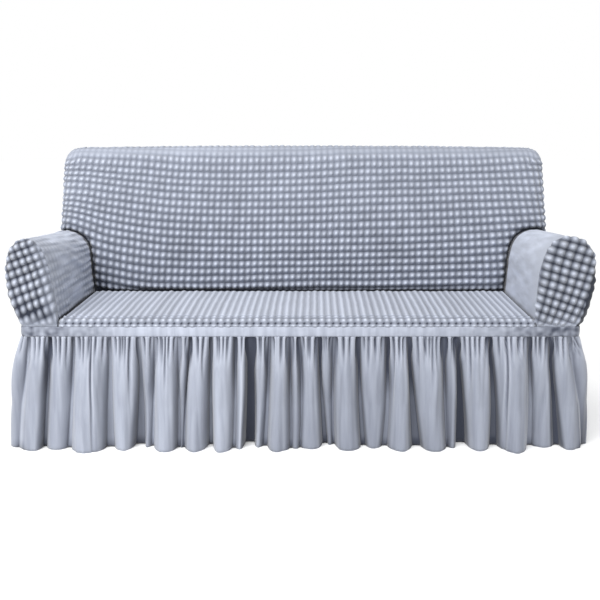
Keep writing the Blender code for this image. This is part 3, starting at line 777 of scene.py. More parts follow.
def arm_panel(name, table, side, fullness):
    """Inner side, top and outer side of an arm, in bubble cloth whose rows run round the arm."""
    stations, lengths = arm_lengths(table)
    wrap_length = lengths[stations.index(float(ARM_WRAP))]
    around = BubbleRow(wrap_length, ARM_PITCH[0], 0.0, lengths[-1])
    deep = BubbleRow(ARM_FRONT + ARM_PITCH[1] * 0.35, ARM_PITCH[1], ARM_FRONT, REAR_SEAM_Y)
    flatter, wrinkled, more_wrinkled, tuck_width, tuck_dark = INNER_SIDE[side]

    def station_at(length):
        index = max(bisect.bisect_left(lengths, length), 1)
        share = (length - lengths[index - 1]) / (lengths[index] - lengths[index - 1])
        station = mix(stations[index - 1], stations[index], share)
        return ARM_WRAP if abs(station - ARM_WRAP) < 0.02 else station

    def surface(column, row):
        number = around.number(column)
        line = deep.number(row)
        length = clamp(around.place(number), 0.0, lengths[-1])
        station = station_at(length)
        wrap_x, wrap_z = arm_section(table, min(station, ARM_WRAP), 1.0)
        end_y = arm_surface_end(side * wrap_x, wrap_z)
        inner = station < ARM_WRAP
        last = end_y + TUCK if inner else REAR_SEAM_Y
        y = max(deep.place(line), ARM_FRONT)
        if y - deep.pitch / QUADS >= last:
            return None
        y = min(y, last)
        x, z = arm_section(table, station, min((y - ARM_FRONT) / (end_y - ARM_FRONT), 1.0))
        depth = clamp((y - ARM_FRONT) / (end_y - ARM_FRONT))
        outer = station > ARM_WRAP + 1
        under = near(y - ARM_FRONT, UNDER_REACH) * ease((UNDER_TOP - z) / UNDER_FADE)
        under *= (side > 0) * outer

        # Towards the back and on top the bubbles run into ribs, which are fuller at both ends.
        ribs = RIB_SHARE * ease(depth / RIB_START) * ease((ARM_WRAP + 1.5 - station) / 1.5)
        streak = noise.noise(Vector((y * 10.0, number * 0.9, 5.0 * side)))
        stray = noise.noise(Vector((y * 6.0, number * 0.4, 2.0 + side)))
        shown = number + 0.35 * ribs * stray
        full = value_at(fullness, station)
        full *= 1 + ribs * (RIB_FULLER * abs(depth - RIB_MIDDLE) - flatter + RIB_STREAK * streak)
        full *= 1 - 0.7 * under
        edge = min(2 * (y - ARM_FRONT), last - y, length + 0.03, lengths[-1] - length) / EDGE
        lift, puff = bubble(line, shown, clamp(full), edge, ribs)

        # Wrinkles rise slowly towards the back.
        wrinkle = noise.noise(Vector(((y - 0.35 * z) * 5.0, (z + 0.35 * y) * 34.0, side)))
        pulled_tight = wrinkled + more_wrinkled * ease((depth - 0.4) / 0.4)
        lift += pulled_tight * wrinkle * (1 - clamp(2 * full)) * ease(edge / 2)
        shift = wander(line, number, 3.0 + side)[0] * ease(edge - 0.5)

        # Painted shade in the tuck beside the seat and in the crevice at the back, and on the outer side
        # where it turns under.
        above = z - mix(SEAT_FRONT_Z, SEAT_REAR_Z, depth)
        tucked = tuck_dark * near(above, (TUCK_WIDTH[0] + TUCK_WIDTH[1] * depth) * tuck_width)
        shade = inner * max(ARM_SHADE[0] * near(end_y - y, EDGE), tucked)
        if outer:
            x += UNDER_OUT * under * ease((y - ARM_FRONT) / 0.03)
            shade = max(ARM_SHADE[1] * ease((station - ARM_WRAP - 1) / 2), ARM_SHADE[2] * under)
        return Vector((side * x, y + shift, z)), line, shown, lift, puff, shade, ribs

    return cloth(name, around.steps, deep.steps, surface, bubble_cloth(), outside=side)


def cap_marks_at(mark):
    """Steps that a mark lies along CAP_MARKS."""
    for step in range(len(CAP_MARKS) - 1):
        if mark <= CAP_MARKS[step + 1]:
            return step + (mark - CAP_MARKS[step]) / (CAP_MARKS[step + 1] - CAP_MARKS[step])
    return float(len(CAP_MARKS) - 1)


# Over how far the bubbles of an arm's end panel rise at its rim and at its foot, and how dark the painted
# shade is on its turned rim, in its grooves over the face fading out at the rim, on the whole left one and
# at the left one's foot. CAP_FOOT and CAP_LOW say how much flatter the left one's foot and the right one's
# lower outer side are, below which height, and over what height that fades in.
CAP_EDGE = (0.007, 0.016)
CAP_SHADE = (2.4, 1.05, 0.12, 0.25)
CAP_FOOT = (0.5, 0.53, 0.07)
CAP_LOW = (0.4, 0.66, 0.09)
# How far across the right one the painted shadow on its rim starts, high up and low down, and how much
# sooner at the foot.
CAP_RIM = (0.78, 0.66, 0.05)
# How far the cloth of an end panel is pulled out of its grid at the rim.
CAP_STRETCH = 0.6
# The grid of an arm's end panel hangs on the bias: where one bubble has its middle (outward distance and
# height), the step from a bubble to the next one outwards, the step to the next one down, how much the
# rows draw together and the columns spread towards the top, and how much the columns bend outwards there.
CAP_GRID = {
    -1: ((0.888, 0.5605), (0.0233, -0.0090), (-0.0060, -0.0287), 0.9, 0.0, 0.65),
    1: ((0.873, 0.6080), (0.0285, -0.0082), (-0.0045, -0.0270), 0.0, 0.9, 0.85),
}


def arm_front(name, table, side):
    """Domed end panel of an arm, its rim rolled back to the arm panel."""
    turns = len(CAP_MARKS) - 1
    last = len(ARM_STATIONS) - 1
    (middle_out, middle_up), outward, downward, shrink, widen, bend = CAP_GRID[side]
    turn = outward[0] * downward[1] - outward[1] * downward[0]

    def rim(place):
        return arm_section(table, read_at(ARM_STATIONS, place), 0.0)

    def surface(column, row):
        across = 2 * column / CAP_COLUMNS - 1
        level = min(row / CAP_LEVELS, 1.0) * CAP_STRAIGHT
        up = max(row - CAP_LEVELS, 0) / CAP_ROUNDS
        inner = rim(level)
        outer = rim(last - level)
        middle_x = (inner[0] + outer[0]) / 2
        middle_z = (inner[1] + outer[1]) / 2
        walk = max(abs(across), up)
        if abs(across) >= up:
            rise = cap_marks_at(up / walk) if walk else 0.0
            place = level + rise if across <= 0 else last - level - rise
        else:
            place = CAP_STRAIGHT + 2 * turns + math.copysign(cap_marks_at(abs(across) / walk), across)
        rim_x, rim_z = rim(place)
        size = math.hypot(rim_x - middle_x, rim_z - middle_z)
        square = clamp(1 - (read_at(ARM_STATIONS, place) - 0.4) / 0.6)
        roll = (mix(CAP_ROLL[0], CAP_SQUARE_REACH, square), CAP_ROLL[1])
        length = size - roll[0] + roll_length(roll)
        reach, depth, _ = rolled(walk * length, size - roll[0], roll)
        x = mix(middle_x, rim_x, reach / size)
        z = mix(middle_z, rim_z, reach / size)
        stretch = 1 + depth * CAP_STRETCH
        off_z = (z - middle_up) * stretch
        off_x = (x - middle_out) * stretch / (1 + widen * off_z) - bend * off_z * abs(off_z)
        off_z *= 1 + shrink * off_z
        number = (off_x * downward[1] - off_z * downward[0]) / turn + 0.5
        line = (off_z * outward[0] - off_x * outward[1]) / turn + 0.5
        shift = wander(number, line, 9.0 * side)
        number += shift[0] / ARM_PITCH[0]
        line += shift[1] / ARM_PITCH[0]

        # The left arm's bubbles are flatter towards the seat and at the foot, the right arm's low down on
        # the outside, where its rim turns under and is painted dark. Painted shade also lies in the
        # grooves over the face, on the whole left one and at its foot.
        inward = ease((-across - 0.2) / 0.8) * (side < 0)
        foot = ease((CAP_FOOT[1] - z) / CAP_FOOT[2]) * (side < 0)
        low = ease((CAP_LOW[1] - z) / CAP_LOW[2]) * (side > 0)
        full = mix(1.0, 0.5, inward)
        full *= 1 - CAP_LOW[0] * low * ease((across - 0.4) / 0.25)
        full *= 1 - CAP_FOOT[0] * foot
        edge = min((1 - walk) * length / CAP_EDGE[0], (z - ARM_FOOT_Z) / CAP_EDGE[1])
        lift, puff = bubble(number, line, full, edge)
        rim_start = mix(*CAP_RIM[:2], low) - CAP_RIM[2] * ease((0.56 - z) / 0.06)
        rim_shade = low * ease((across - rim_start) / 0.10)
        groove_shade = ease((1 - walk) / 0.25) * (1 - inward) * ease((z - ARM_FOOT_Z) / 0.05)
        shade = max(CAP_SHADE[0] * rim_shade, CAP_SHADE[1] * groove_shade)
        shade += CAP_SHADE[2] * (side < 0) + CAP_SHADE[3] * foot
        puff *= 1 - 0.8 * rim_shade
        return Vector((side * x, depth, z)), number, line, lift, puff, shade, 0.0

    rows = CAP_LEVELS + CAP_ROUNDS
    return cloth(name, CAP_COLUMNS, rows, surface, bubble_cloth(), outside=side)


# Back and rear ------------------------------------------------------------------------------------

# Up to ARM_REACH the back meets the arms, which is looked for from SPAN_MARGIN inside them. The bubbles
# lie flat in a stripe of cloth TOP_SMOOTH_WIDTH wide, TOP_SMOOTH up the cloth.
ARM_REACH = 0.73
SPAN_MARGIN = 0.05
TOP_SMOOTH = 1.005
TOP_SMOOTH_WIDTH = 0.09
# Shade on the back: two lines of it along the crevice, each with its strength and width; its strength in
# the lower corners by side, and how far it reaches there across and up; its strength low down and high up,
# and the height between; and its strength in the flat stripe, at the left and how much more at the right.
CREVICE_SHADE = ((1.3, 0.010), (0.36, 0.036))
CORNER_SHADE = {-1: 1.3, 1: 0.5}
CORNER_REACH = (0.13, 0.15)
BACK_SHADE = (0.42, 0.24)
BACK_SHADE_UP = (0.50, 0.35)
STRIPE_SHADE = (0.07, 0.13)
# How full the back's bubbles are low down, high up and in the flat stripe.
BACK_FULL = (1.0, 0.75, 0.18)
BACK_PITCH = (0.0247, 0.0287)
BACK_MIDDLE = (-0.0976, 0.8418)
# How the bubbles of the back are pulled about, in mm: a place across it in metres, how far the rows are
# pulled up there at each height of PULL_HEIGHTS, and how far the columns are pulled right at the foot.
PULL_HEIGHTS = (0.935, 0.80, 0.63, 0.48)
PULLS = (
    # place, top, upper, lower, foot, columns
    (-0.889, 28, 52, 85, 62, -45),
    (-0.747, 19, 35, 43, 34, -38),
    (-0.593, 8, 16, 16, 6, -31),
    (-0.474, -2, 5, 4, 0, -26),
    (-0.296, -7, 0, 0, 0, -13),
    (0.000, -3, 3, 1, 8, -6),
    (0.237, 9, 13, 5, 10, -12),
    (0.474, 13, 20, 11, 14, 0),
    (0.711, 20, 28, 23, 20, 22),
    (0.913, 32, 32, 38, 30, 60),
)
REAR_PITCH = (0.0252, 0.0285)
REAR_SHADE = 0.25


def back_face_y(x, z):
    """The leaning front face of the back, a little full in its middle."""
    share = clamp((z - BACK_FOOT_Z) / (BACK_TOP - BACK_FOOT_Z))
    belly = BACK_BELLY * math.sin(math.pi * share) * max(0.0, 1 - (x / BACK_RIGHT) ** 2)
    return BACK_FOOT_Y + BACK_LEAN * (z - BACK_FOOT_Z) - belly


def back_point(across, up):
    """The back panel's surface at a walk across and up its cloth."""
    sides = BACK_LEFT + BACK_CORNER, BACK_RIGHT - BACK_CORNER
    x, z, depth, _, past = rounded(across, up, *sides, FRONT_ROLL)
    y = mix(back_face_y(x, z) + depth, REAR_SEAM_Y, min(past / SIDE_TAIL, 1.0))
    return Vector((narrowed(x, z), y, z + crown(x, z)))


def back_foot(x):
    """Height at which the back panel ends: below the seat, in an arm's hollow, or on top of an arm."""
    table = LEFT_ARM if x < 0 else RIGHT_ARM
    if abs(x) <= table[0][2] + HIDDEN:
        return BACK_FOOT_Z - TUCK
    previous_x, previous_z = arm_section(table, 0, 1.0)
    for step in range(1, ARM_WRAP * 6 + 1):
        arm_x, arm_z = arm_section(table, step / 6, 1.0)
        if arm_x + HIDDEN * (1 - step / ARM_WRAP / 6) >= abs(x):
            share = clamp((abs(x) - previous_x - HIDDEN) / (arm_x - previous_x))
            return mix(previous_z, arm_z, share) - HIDDEN
        previous_x, previous_z = arm_x, arm_z
    return arm_section(table, ARM_WRAP, 1.0)[1] + SEAM


def place_in(rows, place):
    """Where a value of a table's first column lies between its rows."""
    for step in range(len(rows) - 1):
        if place <= rows[step + 1][0]:
            break
    return step + clamp((place - rows[step][0]) / (rows[step + 1][0] - rows[step][0]))


def pulled(across, up):
    """How far the bubbles at a place of the back are pulled sideways and up."""
    _, *heights, aside = smooth_row(PULLS, place_in(PULLS, across))
    for step in range(len(PULL_HEIGHTS) - 1):
        if up >= PULL_HEIGHTS[step + 1]:
            break
    share = (PULL_HEIGHTS[step] - up) / (PULL_HEIGHTS[step] - PULL_HEIGHTS[step + 1])
    rise = mix(heights[step], heights[step + 1], ease(share))
    down = clamp((PULL_HEIGHTS[0] - up) / (PULL_HEIGHTS[0] - PULL_HEIGHTS[-1]))
    return aside / 1000 * down, rise / 1000


def seam_line(table):
    """The arm's section at its back end, from the seat to the top, as points to measure from."""
    return [Vector(arm_section(table, step / 8, 1.0)) for step in range(ARM_WRAP * 8 + 1)]


def seam_distance(line, x, z):
    """Distance from a place on the back to the arm's section, and less than 0 inside the arm."""
    place = Vector((abs(x), z))
    step = min(range(1, len(line) - 1), key=lambda index: (place - line[index]).length_squared)
    along = line[step + 1] - line[step - 1]
    off = place - line[step]
    return math.copysign(off.length, off.y * along.x - off.x * along.y)


def back_panel():
    """Front face of the back, with its rolled top and sides, down to the arms and the seat.

    Along the arms and the seat it dips into a crevice, and its edge is hidden in there.
    """
    flat = BACK_CORNER - FRONT_ROLL[0]
    past = flat + roll_length(FRONT_ROLL) + SIDE_TAIL
    left = BACK_LEFT + BACK_CORNER - past
    right = BACK_RIGHT - BACK_CORNER + past
    top = BACK_TOP - BACK_CORNER + past
    wide = BubbleRow(BACK_MIDDLE[0], BACK_PITCH[0], left - 0.05, right + 0.06)
    tall = BubbleRow(BACK_MIDDLE[1], BACK_PITCH[1], BACK_FOOT_Z - 0.10, top)
    lines = {-1: seam_line(LEFT_ARM), 1: seam_line(RIGHT_ARM)}
    spans = {-1: LEFT_ARM[0][2], 1: RIGHT_ARM[0][2]}

    def surface(column, row):
        number = wide.number(column)
        line = tall.number(row)
        aside, rise = pulled(wide.place(number), tall.place(line))
        across = clamp(wide.place(number) + aside, left, right)
        up = min(tall.place(line) + rise, top)
        skeleton = clamp(across, BACK_LEFT + BACK_CORNER, BACK_RIGHT - BACK_CORNER)
        reach = rolled(abs(across - skeleton), flat, FRONT_ROLL)[0]
        foot = back_foot(skeleton + math.copysign(reach, across))
        if up < foot - BACK_PITCH[1] / QUADS:
            return None
        up = max(up, foot)
        point = back_point(across, up)
        stray = wander(number, line, 1.0)
        seam = min(across - left, right - across, top - up)
        crevice = up - BACK_FOOT_Z
        side = math.copysign(1, across)
        if reach > FRONT_ROLL[0] and point.z < ARM_REACH:
            crevice = min(crevice, up - foot)
        elif abs(point.x) > spans[side] - SPAN_MARGIN and point.z < ARM_REACH:
            crevice = min(crevice, seam_distance(lines[side], point.x, point.z))
        edge = min(seam, crevice) / EDGE
        loose = ease(edge - 0.8)
        point.x += stray[0] * loose
        point.z += stray[1] * loose
        point.y += TUCK * near(crevice, 2 * TUCK) * (seam > 0.05)

        smooth = ease(1.6 * clamp(1 - abs(up - TOP_SMOOTH) / (TOP_SMOOTH_WIDTH / 2)))
        puff = mix(mix(*BACK_FULL[:2], clamp((up - 0.55) / 0.3)), BACK_FULL[2], smooth)
        lift, puff = bubble(number, line, puff, edge)
        across_corner = (spans[side] - abs(point.x)) / CORNER_REACH[0]
        corner = near(math.hypot(across_corner, (point.z - BACK_FOOT_Z) / CORNER_REACH[1]), 1.0)
        puff *= 1 - 0.45 * corner
        shade = sum(shaded(crevice, line_of_shade) for line_of_shade in CREVICE_SHADE)
        shade += CORNER_SHADE[side] * corner
        high = clamp((up - BACK_SHADE_UP[0]) / BACK_SHADE_UP[1])
        shade += mix(*BACK_SHADE, high) * (1 - 0.5 * smooth)
        shade += (STRIPE_SHADE[0] + STRIPE_SHADE[1] * ease((point.x + 0.4) / 0.4)) * smooth
        return point, number, line, lift, puff, shade, 0.0

    return cloth("back_panel", wide.steps, tall.steps, surface, bubble_cloth(), outside=1)


def outer_side(table, z):
    """Outward distance of an arm's outer side at its back end, by height."""
    for station in range(len(table) - 1, ARM_WRAP, -1):
        if z <= table[station - 1][3]:
            low, high = table[station], table[station - 1]
            return mix(low[2], high[2], clamp((z - low[3]) / (high[3] - low[3])))
    return table[ARM_WRAP][2]


def rear_panel():
    """Rear face, with the rolled rim that meets the back and arm panels, down to the band."""
    past = BACK_CORNER - REAR_ROLL[0] + roll_length(REAR_ROLL)
    reach_x = BACK_RIGHT + BACK_CORNER
    top = BACK_TOP - BACK_CORNER + past
    wide = BubbleRow(0.0, REAR_PITCH[0], -reach_x, reach_x)
    tall = BubbleRow(ARM_FOOT_Z + 0.012, REAR_PITCH[1], ARM_FOOT_Z, top)

    def surface(column, row):
        number = wide.number(column)
        line = tall.number(row)
        up = clamp(tall.place(line), ARM_FOOT_Z, top)
        left = -outer_side(LEFT_ARM, up) + BACK_CORNER
        right = outer_side(RIGHT_ARM, up) - BACK_CORNER
        across = clamp(wide.place(number), left - past, right + past)
        x, z, depth, walk, _ = rounded(across, up, left, right, REAR_ROLL)
        y = max(REAR_Y - depth, REAR_SEAM_Y + RIM_SEAM)
        edge = min(past - walk, up - ARM_FOOT_Z) / EDGE
        lift, puff = bubble(number, line, 1.0, edge)
        place = Vector((narrowed(x, z), y, z + crown(x, z)))
        return place, number, line, lift, puff, REAR_SHADE, 0.0

    return cloth("rear_panel", wide.steps, tall.steps, surface, bubble_cloth(), outside=-1)


# Seat and band ------------------------------------------------------------------------------------

SEAT_COLUMNS = 66
SEAT_PITCH = 0.0288
SEAT_FIRST_GROOVE = 0.0152
SEAT_ROWS = 3
SEAT_TUCK = 0.009
SEAT_TUCK_WIDTH = 0.014
# How full the seat's bubbles and ribs are, and over how far they rise at its sides, front and back.
SEAT_FULL = (0.9, 0.6)
SEAT_EDGE = (0.010, 0.006, 0.005)
# Shade on the seat, as strength and width: at the back, at its left and right side, between the bubbles of
# its front groove, and on the right half of its ribs.
SEAT_BACK_SHADE = (1.0, 0.008)
SEAT_SIDE_SHADE = {-1: (1.4, 0.010), 1: (0.5, 0.010)}
SEAT_GROOVE_SHADE = (1.3, 0.010)
SEAT_RIGHT_SHADE = (0.30, 0.4)


def seat_edge(table, y, z):
    """Outward distance at which the seat meets an arm."""
    share = clamp((y - ARM_FRONT) / (BACK_FOOT_Y - ARM_FRONT))
    foot_x, foot_z = arm_section(table, 0, share)
    next_x, next_z = arm_section(table, 0.5, share)
    return mix(foot_x, next_x, max(z - foot_z, 0.0) / (next_z - foot_z)) - 2 * SEAM


def seat_panel():
    """Seat top, its front roll and the short drop to the band."""
    rise = SEAT_FRONT_Z - ARM_FOOT_Z
    drop_length = roll_length((SEAT_ROLL, rise))
    rear_y = back_face_y(0.0, SEAT_REAR_Z) - SEAT_CLEAR
    end = drop_length + rear_y - SEAT_ROLL
    deep = BubbleRow(SEAT_FIRST_GROOVE - SEAT_PITCH / 2, SEAT_PITCH, 0.0, end)

    def surface(column, row):
        line = deep.number(row)
        number = column / QUADS
        walk = clamp(deep.place(line), 0.0, end)
        line = min(line, SEAT_ROWS + 0.5)
        if walk < drop_length:
            turn = walk / drop_length * math.pi / 2
            y = SEAT_ROLL * (1 - math.cos(turn))
            z = ARM_FOOT_Z + rise * math.sin(turn)
        else:
            y = SEAT_ROLL + walk - drop_length
            share = (y - SEAT_ROLL) / (rear_y - SEAT_ROLL)
            across = 2 * number / SEAT_COLUMNS - 1
            crown_share = math.sin(math.pi * share) * (1 - across ** 2)
            z = mix(SEAT_FRONT_Z, SEAT_REAR_Z, share) + SEAT_CROWN * crown_share
            z -= TUCK * clamp(1 - (end - walk) / TUCK) ** 2
        left = -seat_edge(LEFT_ARM, y, z)
        right = seat_edge(RIGHT_ARM, y, z)
        x = mix(left, right, number / SEAT_COLUMNS)
        aside = min(x - left, right - x)
        z -= SEAT_TUCK * clamp(1 - aside / SEAT_TUCK_WIDTH) ** 2 * (walk > drop_length)
        edge = min(aside / SEAT_EDGE[0], walk / SEAT_EDGE[1] + 0.5, (end - walk) / SEAT_EDGE[2])
        ribbed = ease((walk - SEAT_FIRST_GROOVE - 1.5 * SEAT_PITCH) / SEAT_PITCH)
        lift, puff = bubble(number, line, mix(*SEAT_FULL, ribbed), edge)
        stray = wander(number, walk / SEAT_PITCH, 7.0)
        loose = ease(min(aside, walk, end - walk) / 0.03 - 0.3)
        between = 1 - abs(math.sin(math.pi * number))
        side = 1 if x > 0 else -1
        shade = max(
            shaded(end - walk, SEAT_BACK_SHADE),
            shaded(aside, SEAT_SIDE_SHADE[side]) * (walk > drop_length),
            shaded(abs(walk - SEAT_FIRST_GROOVE), SEAT_GROOVE_SHADE) * between)
        shade += SEAT_RIGHT_SHADE[0] * ease((x - 0.05) / SEAT_RIGHT_SHADE[1]) * ribbed
        place = Vector((x + stray[0] * loose, y + stray[1] * loose, z))
        return place, number, line, lift, puff, shade, 0.0

    return cloth("seat_panel", SEAT_COLUMNS * QUADS, deep.steps, surface, bubble_cloth(), outside=1)


def body_legs():
    """The straight stretches of the body's plan, anticlockwise from the middle of its front.

    Each is where it starts, its heading in degrees, its length and the centre of the corner after it.
    """
    right = BODY_RIGHT - BODY_CORNER
    left = BODY_LEFT + BODY_CORNER
    rear = REAR_Y - BODY_CORNER
    return (
        (0.0, 0.0, 0, right, right, BODY_CORNER),
        (BODY_RIGHT, BODY_CORNER, 90, rear - BODY_CORNER, right, rear),
        (right, REAR_Y, 180, right - left, left, rear),
        (BODY_LEFT, rear, 270, rear - BODY_CORNER, left, BODY_CORNER),
        (left, 0.0, 360, -left, 0.0, 0.0),
    )


def body_outline(walk):
    """Point and outward direction on the body's plan, a walk anticlockwise from the front's middle."""
    arc = BODY_CORNER * math.pi / 2
    legs = body_legs()
    walk %= sum(leg[3] for leg in legs) + 4 * arc
    for start_x, start_y, heading, length, centre_x, centre_y in legs:
        angle = math.radians(heading)
        if walk <= length or heading == 360:
            point = Vector((start_x + walk * math.cos(angle), start_y + walk * math.sin(angle), 0.0))
            return point, Vector((math.sin(angle), -math.cos(angle), 0.0))
        walk -= length
        if walk <= arc:
            angle += walk / BODY_CORNER
            outward = Vector((math.sin(angle), -math.cos(angle), 0.0))
            return Vector((centre_x, centre_y, 0.0)) + BODY_CORNER * outward, outward
        walk -= arc
    return point, outward


def body_walks():
    """Walks to the two ends of each of the four corner arcs, in order, and the walk right round."""
    arc = BODY_CORNER * math.pi / 2
    walks = []
    walk = 0.0
    for leg in body_legs()[:4]:
        walks.append((walk + leg[3], walk + leg[3] + arc))
        walk = walks[-1][1]
    return walks, walk - BODY_LEFT - BODY_CORNER


BAND_STEP = 0.006
BAND_ROWS = 12
BAND_ROLL = 0.0035
BAND_LAP = 0.0010
# How dark the painted shade on the band is along the front, by place in metres, and how dark elsewhere.
BAND_SHADE = ((-1.0, 0.66), (-0.84, 0.58), (-0.70, 0.36), (-0.58, 0.04), (-0.4, 0.0), (0.1, 0.07),
              (0.5, 0.12), (0.62, 0.24), (0.74, 0.52), (0.86, 0.72), (1.0, 0.74))
BAND_REST_SHADE = 0.2
# Depth of the band's small puckers and of its turned edges.
BAND_PUCKER = 0.0014


def waistband():
    """Plain strip right round the cover, its edges turned in and lightly puckered."""
    loop = body_walks()[1]
    columns = round(loop / BAND_STEP)
    low = BAND_BOTTOM - BAND_LAP
    high = BAND_TOP + BAND_LAP

    def surface(column, row):
        walk = (column % columns) * loop / columns
        share = row / BAND_ROWS
        point, outward = body_outline(walk)
        height = mix(low, high, share)
        edge = clamp(min(share, 1 - share) * (high - low) / BAND_ROLL)
        spot = Vector((walk * 95.0, share * 1.5, 2.0))
        pucker = noise.noise(spot) * BAND_PUCKER * (1 - 0.5 * share)
        puff = BAND_PROUD + BAND_PUFF * math.sin(math.pi * share) + pucker * edge
        puff -= BAND_PUCKER * (1 - math.sqrt(1 - (1 - edge) ** 2))
        place = point + outward * puff + Vector((0.0, 0.0, height))
        # Painted shade on the band, darkest under the arms and mottled a little.
        painted_shade_here = value_at(BAND_SHADE, point.x) if point.y < BODY_CORNER else BAND_REST_SHADE
        mottle = noise.noise(Vector((walk * 60.0, share * 2.0, 6.0)))
        shade = clamp(painted_shade_here * (1 + 0.8 * mottle) + 0.05 * mottle)
        return place, column * loop / columns, share * (high - low), 0.0, 0.0, shade, 0.0

    return cloth("waistband", columns, BAND_ROWS, surface, plain_cloth(), outside=1)


# Skirt --------------------------------------------------------------------------------------------

def even_folds(start, end, ridge, seed):
    """A fold table for a side that hangs plainly, its pitch and depth a little uneven."""
    chance = random.Random(seed)
    count = round((end - start) / EVEN_FOLD)
    rows = []
    for step in range(count + 1):
        place = 1000 * mix(start, end, step / count)
        inner = 0 < step < count
        top = place + inner * chance.uniform(-9, 9)
        hem = place + inner * chance.uniform(-12, 12)
        floor = chance.uniform(-26, -12) if inner else 2
        height = ridge + chance.uniform(-5, 5) * (0 < step < count - 1)
        width = chance.uniform(12, 26) if inner else 6
        # Painted shade of each valley, a little uneven.
        dark = chance.uniform(20, 60) * inner
        rows.append(Fold(top, (top + hem) / 2, hem, 7, width, floor, height, dark + 10, dark, 5))
    return rows


def scattered_gathers(start, end, margin, pitch, reach, seed):
    """Gathers at an uneven pitch along a skirt, each with the share of the drop it reaches.

    `pitch` is the least and the greatest step in mm, and `reach` draws a share from a source of chance.
    """
    chance = random.Random(seed)
    gathers = []
    place = 1000 * start + margin
    while place < 1000 * end - margin:
        gathers.append((place, reach(chance)))
        place += chance.uniform(*pitch)
    return gathers


def small_gathers(start, end, seed):
    """The short gathers that a skirt has all along."""
    return scattered_gathers(start, end, 8, (15, 25), lambda chance: chance.uniform(0.07, 0.15), seed)


def long_gathers(start, end, seed):
    """Longer gathers, further apart, for a side that hangs plainly."""
    reaches = (0.20, 0.25, 0.32, 0.42)
    return scattered_gathers(start, end, 30, (55, 110), lambda chance: chance.choice(reaches), seed)


def fold_place(top, middle, hem, drop):
    """Place of a valley at a share of the drop: a smooth curve through its three places."""
    first = (drop - MIDDLE_ROW) * (drop - 1) / MIDDLE_ROW
    second = drop * (1 - drop) / (MIDDLE_ROW * (1 - MIDDLE_ROW))
    third = drop * (drop - MIDDLE_ROW) / (1 - MIDDLE_ROW)
    return top * first + middle * second + hem * third


def shoulder_out(drop):
    """How far the folds swell out in the upper part of the drop."""
    return SHOULDER * math.sin(math.pi * min(drop / 0.6, 1.0))


def valley(fold, drop):
    """Left edge, right edge and floor of a valley, in metres."""
    place = fold_place(fold.top, fold.middle, fold.hem, drop)
    half = mix(fold.top_width, fold.hem_width, drop ** 1.3) / 2
    depth = VALLEY_TOP - shoulder_out(drop) * 0.7 + (fold.floor / 1000 - VALLEY_TOP) * drop
    return (place - half) / 1000, (place + half) / 1000, depth


def skirt_columns(folds, step):
    """Columns of a skirt: which valley a point follows, whether it lies on the floor, and its share."""
    columns = [(0, True, share) for share in (0.0, 0.5)]
    for index in range(len(folds) - 1):
        width = (folds[index + 1].hem - folds[index].hem) / 1000
        count = max(10, round(1.15 * width / step))
        columns += [(index, False, mark / count) for mark in range(count + 1)]
        count = max(2, round(folds[index + 1].hem_width / 1000 / FLOOR_STEP))
        if index < len(folds) - 2:
            columns += [(index + 1, True, mark / count) for mark in range(1, count)]
    columns += [(len(folds) - 1, True, share) for share in (0.5, 1.0)]
    return columns


def darkness(fold, drop):
    """How dark the painted shade of a valley is at a share of the drop."""
    extra = VALLEY_DARKER[fold.top > RIGHT_PART]
    return clamp(extra * mix(fold.dark_top, fold.dark_hem, ease((drop - 0.1) / 0.5)) / 100)


def gathered(walk, drop, gathers):
    """How deep the gathers are at a place, up to 1 in their middles, and how near their crests are.

    The depth sinks the cloth and paints shade in the gathers, and the crests get a painted highlight.
    """
    low = bisect.bisect_left(gathers, (1000 * walk - 3 * GATHER_WIDTH, 0.0))
    deep = beside = 0.0
    for place, reach in gathers[low:]:
        off = (1000 * walk - place) / GATHER_WIDTH
        if off < -3:
            break
        fresh = ease(1.15 - drop / (0.12 + 1.35 * reach))
        deep = max(deep, math.exp(-off * off) * fresh)
        beside = max(beside, math.exp(-((abs(off) - 1.7) / 0.6) ** 2) * fresh)
    return deep, beside


def floor_point(folds, index, drop, share, seams):
    """Walk, reach outwards and painted shade of a point on a valley's floor; the end ones run to a seam.
    """
    left, right, floor = valley(folds[index], drop)
    last = len(folds) - 1
    if index == 0:
        left = seams[0]
    if index == last:
        right = seams[1]
    out = floor - 0.12 * (right - left) * math.sin(math.pi * share)
    if index in (0, last):
        out = mix(floor, mix(VALLEY_TOP, SEAM_OUT, drop), 1 - share if index == 0 else share)
    return mix(left, right, share), out, darkness(folds[index], drop)


